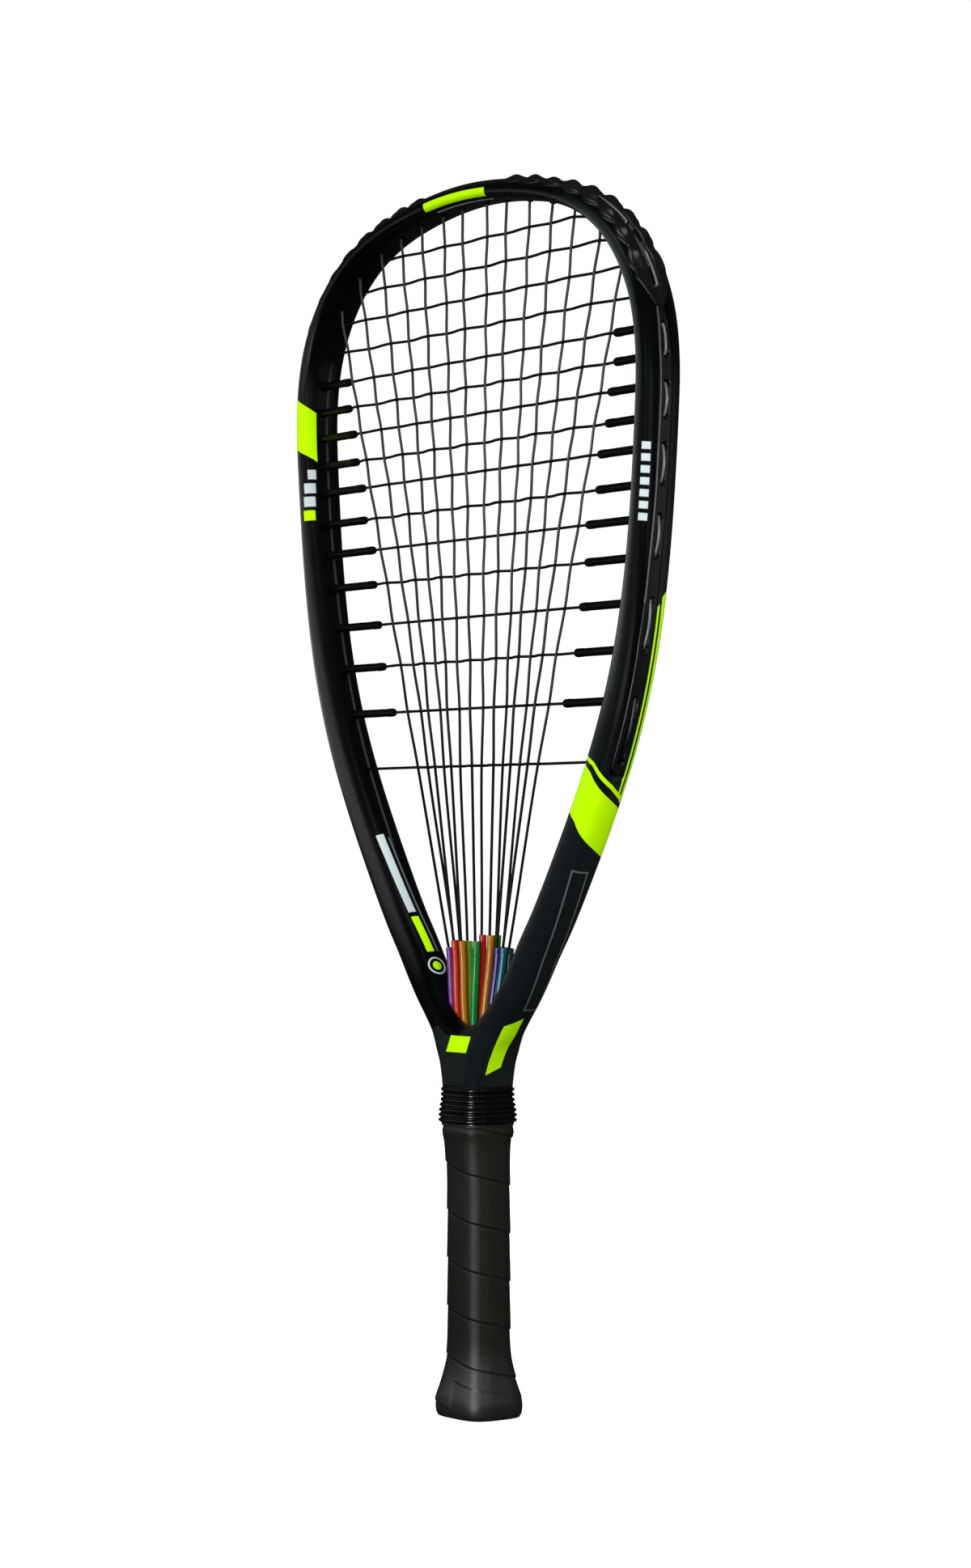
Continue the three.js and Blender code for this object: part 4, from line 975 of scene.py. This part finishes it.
def build_strip(side):
    sh = Shell()
    s0, s1 = 154.5, arc_of(GROOVE_END_DEG) - 0.5
    exits = lambda k: s0 - 4 if k == 3.4 else arc_of(cross_exit[k])
    pockets = [sorted((exits(p), exits(q))) for p, q in POCKETS[side]]
    rows_pts, uvs = [], []
    n = int((s1 - s0) / 0.5)
    cols = np.concatenate([np.linspace(-1, -0.45, 9), np.linspace(-0.38, 0.38, 15), np.linspace(0.45, 1, 9)])
    for k in range(n + 1):
        s = s0 + (s1 - s0) * k / n
        c = centre(side * angle_of(s))
        w = c.w / 2
        near = 0.0
        for p, q in pockets:
            d = max(p - s, s - q, 0)
            near = max(near, 1 - smooth(d / 4.0))
        end = math.sqrt(max(0.0, 1 - max(0.0, 1 - (s1 - s) / 3.3) ** 2))
        half = (3.28 + 0.1 * near) * max(0.08, end) * (0.66 + 0.34 * smooth((s - s0) / 20.0))
        mid = line_b(s)
        pts = []
        for t in cols:
            b = half * t
            crown = c.surf(b + mid) + 0.34 - 0.1 * (b / 3.3) ** 2 + 0.1 * near
            edge = math.sqrt(max(0.0, 1 - (1 - min(1, (half - abs(b)) / 0.45)) ** 2))
            a = w - 0.9 + (crown - w + 0.9) * edge
            depth = 0.0
            for p, q in pockets:
                # slot between the two holes
                if p - 3 < s < q + 3:
                    ds = max(p - s, s - q, 0)
                    slot_d = math.hypot(ds, b)
                    depth = max(depth, 1.3 * (1 - smooth((slot_d - 0.9) / 0.5)))
                    for h in (p, q):
                        r = math.hypot(s - h, b)
                        depth = max(depth, 2.1 * (1 - smooth((r - 1.15) / 0.7)))
            pts.append(c.at(a - depth, b + mid))
        pts += [c.at(w - 2.3, mid + half), c.at(w - 2.3, mid - half)]
        rows_pts.append(pts)
        uvs.append([(s, 0.3 * j) for j in range(len(pts) + 1)])
    sh.patch(rows_pts, uvs, wrap=True)
    for r in (rows_pts[0], rows_pts[-1]):
        sh.fan(r, tuple(np.mean(np.array(r), axis=0)))
    for k in range(4, 15):
        c = centre(side * cross_angle[k])
        z, tip = CROSS_Z[k], PEG_TIP_X[k - 4]
        wall = abs(c.x) - c.w / 2 / abs(c.nx)          # where it leaves the inner side of the tube
        prof = [(wall + 5, 1.7), (wall + 1.0, 2.25), (wall, 2.2), (wall - 0.7, 2.08), (wall - 1.6, 1.98), (wall - 3, 1.92), (tip + 6.2, 1.86), (tip + 5.6, 1.88), (tip + 5.2, 1.97), (tip + 1.6, 1.97), (tip + 0.75, 1.8), (tip + 0.25, 1.4), (tip, 0.95)]
        path = [(side * x, 0, z) for x, _ in prof]
        tube_mesh(sh, path, [r for _, r in prof], 20)
    name = "right_strip" if side > 0 else "left_strip"
    ob = inner_parts(sh.object(name, [mat_strip, mat_peg, mat_rim_highlight], sharp=50))
    uv = ob.data.uv_layers[0].data
    rims = [(f, sum(uv[i].uv[1] for i in f.loop_indices) / len(f.loop_indices)) for f in ob.data.polygons if f.material_index == 0]
    wide = max(v for _, v in rims)
    for f, v in rims:              # front edge painted lighter above 0.36 m, a painted highlight line
        if v < 0.07 * wide and f.center[2] > 0.36:
            f.material_index = 2
    return ob


place(build_strip(-1), "left_grommet_strip", slot="strip_plastic")
place(build_strip(1), "right_grommet_strip", slot="strip_plastic")

# ------------------------------------------------------------------ strings
LOOP = 0.2


def head_arc(g0, g1, b0, b1, lift, bow=0.0):
    s0, s1 = arc_of(g0), arc_of(g1)
    n = max(3, int(abs(s1 - s0) / 1.5))
    out = []
    for k in range(n + 1):
        t = k / n
        c = centre(angle_of(s0 + (s1 - s0) * t))
        out.append(c.at(c.w / 2 + lift + bow * math.sin(math.pi * t), b0 + (b1 - b0) * t))
    return out


def over(i, k):
    """+1 where cross k passes behind main i, -1 where it passes in front."""
    return 1 if (i + k) % 2 == 0 else -1


def weave_y(i, k):
    """y of the main and of the cross where they meet; they touch and share the bend."""
    y = main_y(i, CROSS_Z[k])
    return y - over(i, k) * 0.3, y + over(i, k) * 0.98


def crossed(i, k):
    z = CROSS_Z[k]
    c = centre(cross_angle[k])
    edge = abs(inner_point(cross_angle[k])[0]) if k < 4 else abs(c.x) - c.w / 2
    return abs(main_x(i, z)) <= edge - 2.5


def lean(z, far):
    """Slight shift to one side near the open ends of the tubes, mm."""
    q = far * smooth((z - 182) / 26.0)
    return np.array([0.6 * q, 0.8 * q, 0.0])


def main_down(i):
    c = centre(main_angle[i])
    knots = [c.at(-c.w / 2 - 1.0, -LANE)]
    for k in range(16):
        if crossed(i, k) and CROSS_Z[k] < knots[0][2] - 3:
            knots.append((main_x(i, CROSS_Z[k]), weave_y(i, k)[0], CROSS_Z[k]))
    top = TUBE_TOP_Z[i]
    knots.append((main_x(i, top) + 0.27, row(i) * ROW_Y + 0.36, top))
    line = wave_path(knots, 1.5)
    below = [tuple(np.array(tube_point(i, z)) + lean(z, 0.45)) for z in list(np.arange(top - 6, PLATE_Z[0] - 1.2, -6))]
    return [c.at(c.w / 2 - 1.0, -LANE)] + line + below


def build_mains():
    sh = Shell()
    path = head_arc(main_angle[0] - 6, main_angle[0], -LANE, -LANE, LOOP)
    for i in range(14):
        d = main_down(i)
        if i % 2 == 0:
            path += d
            e = tube_point(i, PLATE_Z[0] - 1.2)
            path += [(e[0], e[1], PLATE_Z[0] - 1.4), (e[0], e[1] * 0.8, PLATE_Z[0] - 2.0), (e[0], 0, PLATE_Z[0] - 2.0), (e[0], -e[1] * 0.8, PLATE_Z[0] - 2.0), (e[0], -e[1], PLATE_Z[0] - 1.4)]
        else:
            path += d[::-1]
            if i < 13:
                path += head_arc(main_angle[i], main_angle[i + 1], -LANE, -LANE, LOOP)
    path += head_arc(main_angle[13], main_angle[13] + 6, -LANE, -LANE, LOOP)
    clean = [np.array(path[0], float)]
    for q in path[1:]:
        if np.linalg.norm(np.array(q) - clean[-1]) > 0.25:
            clean.append(np.array(q, float))
    tube_mesh(sh, clean, STRING_R, 10)
    return sh.object("mains", mat_main)


def build_crosses():
    sh = Shell()
    path = []
    for k in range(16):
        z, direction = CROSS_Z[k], 1 if k % 2 == 0 else -1
        c = centre(cross_angle[k])
        line = []
        if k < 4:
            left, rt = centre(-cross_angle[k]), c
            ends = [left.at(left.w / 2 - 1.0, LANE), left.at(-left.w / 2 - 0.9, LANE)], [rt.at(-rt.w / 2 - 0.9, LANE), rt.at(rt.w / 2 - 1.0, LANE)]
        else:
            e = centre(cross_exit[k])
            ex = e.at(e.w / 2 - 0.8, 0)[0] - 1.2
            tip = PEG_TIP_X[k - 4] - 0.3 if k < 15 else abs(c.x) - c.w / 2 - 1.5
            ends = [(-ex, 0, z), (-tip, 0, z)], [(tip, 0, z), (ex, 0, z)]
        knots = [ends[0][1]]
        for i in range(14):
            if crossed(i, k):
                knots.append((main_x(i, z), weave_y(i, k)[1], z))
        knots.append(ends[1][0])
        line = [ends[0][0]] + wave_path(knots, 1.2) + [ends[1][1]]
        if direction < 0:
            line = line[::-1]
        if k == 0:
            path += head_arc(-cross_angle[0] + 5, -cross_angle[0], LANE, LANE, LOOP)
        path += line
        end = 1 if direction > 0 else -1
        if k < 15:
            side_b = [line_b(arc_of(cross_exit[q])) if q > 3 else LANE for q in (k, k + 1)]
            lift, bow = (LOOP, 0.0) if k < 3 else (-0.1, 0.45) if k == 3 else (-0.3, 0.75) if k == 4 else (-0.75, 1.35)
            path += head_arc(end * cross_exit[k], end * cross_exit[k + 1], side_b[0], side_b[1], lift, bow)
        else:
            b15 = line_b(arc_of(cross_exit[15]))
            path += head_arc(end * cross_exit[15], end * (cross_exit[15] - 2.6), b15, b15, -0.8)
    clean = [np.array(path[0], float)]
    for q in path[1:]:
        if np.linalg.norm(np.array(q) - clean[-1]) > 0.25:
            clean.append(np.array(q, float))
    tube_mesh(sh, clean, STRING_R, 10)
    ob = sh.object("crosses", [mat_cross, mat_turn])
    for f in ob.data.polygons:
        x, z = f.center[0] / MM, f.center[2] / MM - HEAD_CENTRE_Z
        g = math.degrees(math.atan2(x, z))
        f.material_index = 1 if math.hypot(x, z) > outline_r(g) + section_w(g) / 2 - 1.4 else 0
    return ob


place(build_mains(), "main_string", slot="main_string")
place(build_crosses(), "cross_string", slot="cross_string")

# ------------------------------------------------------------------ string tubes
TUBE_LOOK = [("tube_purple", (122, 44, 150)), ("tube_blue", (30, 70, 170)), ("tube_orange_red", (212, 44, 4)), ("tube_teal", (14, 120, 128)), ("tube_gold", (206, 122, 2)), ("tube_lime", (112, 176, 14)), ("tube_green", (6, 150, 70)),
             ("tube_red", (214, 36, 30)), ("tube_gold", (206, 130, 12)), ("tube_green", (50, 150, 24)), ("tube_violet", (66, 34, 130)), ("tube_blue", (14, 84, 160)), ("tube_teal", (18, 120, 140)), ("tube_grey", (52, 62, 64))]


def tube_material(index, rgb):
    mat, nt, bsdf = new_material("tube_%02d" % (index + 1))
    n1 = noise(nt, 160, 3.0, 0.5, stretch=(1.0, 1.0, 0.15))
    dark, light = tuple(v * 0.55 for v in srgb(*rgb)), tuple(v * 0.75 for v in srgb(*rgb))
    nt.links.new(ramp(nt, n1, [(0.3, dark), (0.7, light)]), bsdf.inputs["Base Color"])
    n2 = noise(nt, 700, 3.0, 0.5)
    nt.links.new(map_range(nt, n2, 0.05, 0.08, 0.3, 0.7), bsdf.inputs["Roughness"])
    bsdf.inputs["Specular IOR Level"].default_value = 0.32
    bump(nt, bsdf, n2, 0.008, 0.00003)
    return mat


TUBES = []
for i in range(14):
    sh = Shell()
    top = TUBE_TOP_Z[i]
    zs = [top, top - 0.15] + list(np.arange(top - 3, 120, -3.0)) + list(np.arange(112, TUBE_END_Z, -10.0)) + [TUBE_END_Z]
    raw = np.array([tube_point(i, z) for z in zs])
    soft = raw.copy()
    for _ in range(6):             # ease the knees of the gathered route
        soft[3:-1] = soft[3:-1] * 0.5 + (soft[2:-2] + soft[4:]) * 0.25 if len(soft) > 6 else soft[3:-1]
    soft = np.array([q + lean(z, 1.0) for q, z in zip(soft, zs)])
    radii = [1.72 - 0.05] + [TUBE_R + 0.17 * smooth((z - 166) / 12.0) for z in zs[1:]]
    tube_mesh(sh, soft, radii, 18, bore=1.3)
    ob = sh.object("tube_piece_%02d" % (i + 1), tube_material(i, TUBE_LOOK[i][1]), sharp=50)
    TUBES.append(place(ob, "string_tube_%02d" % (i + 1), slot=TUBE_LOOK[i][0]))


# ------------------------------------------------------------------ handle end
def rounded_octagon(A, B, c, z, n=4, soft=0.28):
    """Octagon with eased corners; point count is fixed, so that rows can be joined."""
    corners = [(A - c, -B), (A, -B + c), (A, B - c), (A - c, B), (-A + c, B), (-A, B - c), (-A, -B + c), (-A + c, -B)]
    out = []
    m_ = len(corners)
    for k in range(m_):
        p0, p1, p2 = (np.array(corners[(k + d) % m_], float) for d in (-1, 0, 1))
        q0, q1 = p1 + (p0 - p1) * soft, p1 + (p2 - p1) * soft
        for j in range(n + 1):
            t = j / n
            q = (1 - t) ** 2 * q0 + 2 * t * (1 - t) * p1 + t * t * q1
            out.append((q[0], q[1], z))
    return out


def sleeve_object(name, outer, inner, mat, sharp=40, n=4, soft=0.28):
    sh = Shell()
    rows_pts = [rounded_octagon(*r, n=n, soft=soft) for r in outer] + [rounded_octagon(*r, n=n, soft=soft) for r in inner[::-1]]
    rows_pts.append(rows_pts[0])
    k = len(rows_pts[0])
    uvs = [[(2.0 * r, 1.5 * j) for j in range(k + 1)] for r in range(len(rows_pts))]
    sh.patch(rows_pts, uvs, wrap=True)
    return sh.object(name, mat, sharp=sharp)


def table_spline(table, zs):
    cols = list(zip(*table))
    z = cols[3]
    fs = [natural(list(z), list(cols[k])) for k in range(3)]
    return [(fs[0](q), fs[1](q), fs[2](q), q) for q in zs]


# collar with ribs
COLLAR = [(16.0, 15.4, 6.2, 132.4), (16.0, 15.4, 6.2, 136.0), (15.6, 15.0, 5.9, 139.4), (15.0, 14.4, 5.6, 143.4), (14.8, 14.2, 5.5, 149.2)]


def build_collar():
    rows_out = []
    zs = np.arange(132.4, 149.21, 0.2)
    for (A, B, c, z) in table_spline(COLLAR, zs):
        u = (z - 133.5) / 2.3
        rib = 0.0
        if -0.5 < u < 6.5:
            f = u - round(u)
            rib = 0.75 * max(0.0, 1 - (f / 0.4) ** 2) ** 0.5 if abs(f) < 0.4 else 0.0
        rows_out.append((A - 0.65 + rib, B - 0.65 + rib, c, z))
    rows_out = [(rows_out[0][0] - 0.35, rows_out[0][1] - 0.35, rows_out[0][2], 132.1)] + rows_out
    rows_out.append((rows_out[-1][0] - 0.4, rows_out[-1][1] - 0.4, rows_out[-1][2], 149.2))
    inner = [(14.95, 14.35, 5.6, 132.1), (14.95, 14.35, 5.6, 137.0), (13.5, 12.95, 4.5, 143.2), (13.5, 12.7, 4.0, 149.2)]
    return sleeve_object("collar_piece", rows_out, inner, mat_collar, sharp=55, n=6, soft=0.42)


collar_ob = place(build_collar(), "rubber_collar", slot="collar_rubber")

# grip: one strip wound up the handle, each turn lapping over the one below
GRIP = [(17.4, 15.0, 6.0, 0.15), (18.05, 15.65, 6.2, 1.4), (18.45, 16.1, 6.4, 3.4), (18.6, 16.2, 6.5, 6.0), (18.0, 15.65, 6.4, 9.8), (16.9, 14.7, 6.2, 13.7), (15.9, 13.75, 6.0, 18.0), (14.7, 12.8, 5.85, 23.6), (13.95, 12.3, 5.75, 29.5), (13.7, 12.15, 5.7, 38.0), (13.65, 12.12, 5.7, 60.0), (13.65, 12.15, 5.7, 98.0), (13.7, 12.35, 5.7, 112.0), (13.8, 12.75, 5.65, 119.5), (14.2, 13.4, 5.6, 125.5), (14.4, 13.8, 5.5, 129.0), (14.1, 13.45, 5.5, 131.0), (13.9, 13.3, 5.5, 136.0)]
PITCH_Z = 21.6


def build_grip():
    sh = Shell()
    zs = np.arange(0.15, 136.01, 0.3)
    base = table_spline(GRIP, zs)
    sections = []
    n, soft = 8, 0.44
    for (A, B, c, z) in base:
        o = np.array(rounded_octagon(A, B, c, z, n=n, soft=soft))[:, :2]
        closed = np.vstack([o, o[:1]])
        q, _ = resample(closed, 144)
        sections.append(q[:-1])
    sections = np.array(sections)                       # z, angle, xy
    # where each ray sits round the handle, as a turn fraction from the front middle
    mid = sections[len(sections) // 2]
    turn = (np.arctan2(mid[:, 0], -mid[:, 1]) / (2 * math.pi)) % 1.0
    nrm = mid / np.linalg.norm(mid, axis=1)[:, None]
    rows_pts, uvs = [], []
    for k, z in enumerate(zs):
        pts = []
        for j in range(144):
            ph = (z - 4.0) / PITCH_Z + turn[j]          # seams fall to the right as seen from outside
            f = ph - math.floor(ph)
            d = f * PITCH_Z                             # distance above the seam
            if ph < 0.6:
                lift = 0.0
            else:
                lift = 0.5 * min(1.0, d / 0.45) - 0.5 * min(1.0, d / PITCH_Z) * 1.0
                lift -= 0.14 * math.exp(-((PITCH_Z - d) / 0.8) ** 2)
            x, y = sections[k][j]
            lean = 1.0 - smooth((z - 95.0) / 30.0)
            pts.append((x + nrm[j][0] * lift + 0.21 * lean, y + nrm[j][1] * lift + 0.28 * lean, z))
        rows_pts.append(pts)
        uvs.append([(z, 0.58 * j) for j in range(145)])
    # turned-in lower edge and upper end
    low = [[(x * 0.94, y * 0.94, 0.15) for x, y, _ in rows_pts[0]]]
    inner_zs = [2.5, 10, 20, 30, 40, 60, 100, 130, 136]
    inner = [[(x * 0.9, y * 0.9, z) for x, y in sections[min(len(zs) - 1, int((z - 0.15) / 0.3))]] for z in inner_zs]
    all_rows = rows_pts + inner[::-1] + low + [rows_pts[0]]
    k = len(all_rows)
    uv_all = uvs + [[(0.0, 0.58 * j) for j in range(145)] for _ in range(k - len(uvs))]
    sh.patch(all_rows, uv_all, wrap=True)
    return sh.object("grip_piece", mat_grip, sharp=60)


grip_ob = place(build_grip(), "grip_wrap", slot="grip_wrap")

# butt cap: the flared end under the wrap, with its flat bottom
CAP = [(14.9, 13.4, 5.9, 0.0), (15.35, 13.85, 6.05, 0.2), (15.65, 14.15, 6.15, 0.7), (15.8, 14.3, 6.2, 1.5), (15.9, 14.4, 6.25, 4.5), (15.6, 14.1, 6.15, 8.5), (13.2, 11.8, 5.5, 18.0), (12.4, 11.0, 5.3, 24.0), (12.2, 10.8, 5.2, 31.0)]


def build_cap():
    inner = [(12.0, 10.6, 5.0, 31.0), (12.0, 10.6, 5.0, 5.4), (5.3, 2.7, 1.6, 5.4), (5.2, 2.6, 1.6, 0.4), (5.6, 3.0, 1.8, 0.0)]
    sh = Shell()
    rows_pts = [rounded_octagon(*r, n=5, soft=0.3) for r in CAP] + [rounded_octagon(*r, n=5, soft=0.3) for r in inner]
    rows_pts.append(rows_pts[0])
    k = len(rows_pts[0])
    sh.patch(rows_pts, [[(2.0 * r, 1.5 * j) for j in range(k + 1)] for r in range(len(rows_pts))], wrap=True)
    return sh.object("cap_piece", mat_cap, sharp=40)


place(build_cap(), "butt_cap", slot="cap_plastic")

# finishing tape under the collar
place(sleeve_object("tape_piece", [(14.75, 14.15, 5.7, 131), (14.75, 14.15, 5.7, 137), (13.2, 12.7, 4.6, 142.5)], [(14.35, 13.75, 5.5, 131), (14.35, 13.75, 5.5, 136.5), (12.8, 12.3, 4.0, 142.5)], mat_tape), "grip_finishing_tape", slot="finishing_tape")

# the anchor plate keeps its own shape, with a better finish
plate = bpy.data.objects.get("string_anchor_plate")
for ob in ([plate] if plate else []):
    ob.data.materials.clear()
    ob.data.materials.append(mat_plate)

# ------------------------------------------------------------------ stage and light
def stage_material(name, color, emit):
    mat, nt, bsdf = new_material(name)
    n1 = noise(nt, 3.0, 2.0, 0.5)
    nt.links.new(ramp(nt, n1, [(0.3, tuple(c * 0.99 for c in color)), (0.7, color)]), bsdf.inputs["Base Color"])
    bsdf.inputs["Roughness"].default_value = 0.9
    bsdf.inputs["Emission Color"].default_value = (1, 1, 1, 1)
    bsdf.inputs["Emission Strength"].default_value = emit
    return mat


floor_me = bpy.data.meshes.new("floor")
R = 14.0
floor_me.from_pydata([(-R, -R, 0), (R, -R, 0), (R, R, 0), (-R, R, 0)], [], [(0, 1, 2, 3)])
floor = bpy.data.objects.new("floor", floor_me)
floor_me.materials.append(stage_material("floor_white", (0.9, 0.9, 0.9), 1.0))
scene.collection.objects.link(floor)
floor.visible_glossy = False
floor.visible_diffuse = False

world = bpy.data.worlds.new("studio")
scene.world = world
world.use_nodes = True
wn = world.node_tree
wn.nodes.clear()
w_out = wn.nodes.new("ShaderNodeOutputWorld")
w_seen = wn.nodes.new("ShaderNodeBackground")
w_light = wn.nodes.new("ShaderNodeBackground")
w_mix = wn.nodes.new("ShaderNodeMixShader")
w_path = wn.nodes.new("ShaderNodeLightPath")
w_seen.inputs[0].default_value = (1, 1, 1, 1)
w_seen.inputs[1].default_value = 1.05
w_light.inputs[0].default_value = (0.9, 0.95, 1.0, 1)
w_light.inputs[1].default_value = 0.03
wn.links.new(w_path.outputs["Is Camera Ray"], w_mix.inputs[0])
wn.links.new(w_light.outputs[0], w_mix.inputs[1])
wn.links.new(w_seen.outputs[0], w_mix.inputs[2])
wn.links.new(w_mix.outputs[0], w_out.inputs[0])


def panel(name, azimuth, elevation, distance, aim_z, size, radiance, colour=(1, 1, 1)):
    """Soft light at an angle from the camera's own direction, + to the camera's right, aimed at a height on the racket."""
    a, e = math.radians(azimuth), math.radians(elevation)
    d = Vector((-fwd * math.cos(a) + right * math.sin(a)) * math.cos(e) + up * math.sin(e))
    aim = Vector((0, 0, aim_z))
    data = bpy.data.lights.new(name, "AREA")
    data.shape = "RECTANGLE"
    data.size, data.size_y = size
    data.energy = radiance * math.pi * size[0] * size[1]
    data.color = colour
    ob = bpy.data.objects.new(name, data)
    ob.location = aim + d * distance
    ob.rotation_euler = (-d).to_track_quat("-Z", "Y").to_euler()
    scene.collection.objects.link(ob)
    return ob


def arc_panel(name, from_az, to_az, distance, low, high, radiance, colour=(1, 1, 1)):
    """Upright panel that spans two azimuths and two heights at a distance from the racket's axis."""
    width = 2 * distance * math.tan(math.radians(abs(to_az - from_az) / 2))
    return panel(name, (from_az + to_az) / 2, 0.0, distance, (low + high) / 2, (width, high - low), radiance, colour)


arc_panel("left_1", -122, -98, 1.2, 0.20, 0.60, 0.8)
arc_panel("left_2", -98, -74, 1.2, 0.20, 0.54, 1.2)
arc_panel("left_3", -74, -50, 1.2, 0.20, 0.54, 1.4)
arc_panel("left_4", -50, -26, 1.2, 0.20, 0.54, 1.3)


def only(light, name, obs):
    """Let a light give its reflection to these objects only."""
    col = bpy.data.collections.new(name)
    for ob in obs:
        col.objects.link(ob)
    light.light_linking.receiver_collection = col
    light.visible_diffuse = False


only(arc_panel("tube_light", -58, -42, 1.2, -0.3, 0.8, 13.0), "lit_tubes", TUBES)
only(arc_panel("collar_light", -42, -22, 1.2, -0.2, 0.3, 48.0), "lit_collar", [collar_ob])
only(arc_panel("inner_light", -152, -124, 1.2, 0.25, 0.75, 1.3), "lit_frame_inside", [frame_ob])
only(arc_panel("flare_light", -50, -16, 1.2, 0.2, 0.8, 3.8), "lit_grip", [grip_ob])
arc_panel("neck", -28, -6, 1.2, 0.06, 0.115, 2.6)
arc_panel("low", -50, -14, 1.15, -0.12, 0.06, 7.5)
arc_panel("front", -26, 0, 2.2, 0.33, 0.75, 0.35)
arc_panel("edge", 4, 14, 1.2, 0.29, 0.68, 3.0)
arc_panel("edge_low", 32, 46, 1.2, 0.29, 0.60, 3.0)
arc_panel("right", 62, 96, 1.2, 0.0, 0.62, 0.2)
panel("above", -35, 60, 1.5, 0.35, (0.8, 0.5), 1.6)

# wide soft light for the paint's own colour; it leaves no reflection
fill = panel("fill", -34, 30, 1.9, 0.28, (2.2, 1.6), 2.8)
fill.visible_glossy = False
fill_b = panel("fill_back", 180, 12, 1.9, 0.28, (2.2, 1.6), 4.0)
fill_b.visible_glossy = False
fill_r = panel("fill_right", 38, 20, 1.9, 0.28, (1.4, 1.4), 4.6)
fill_r.visible_glossy = False
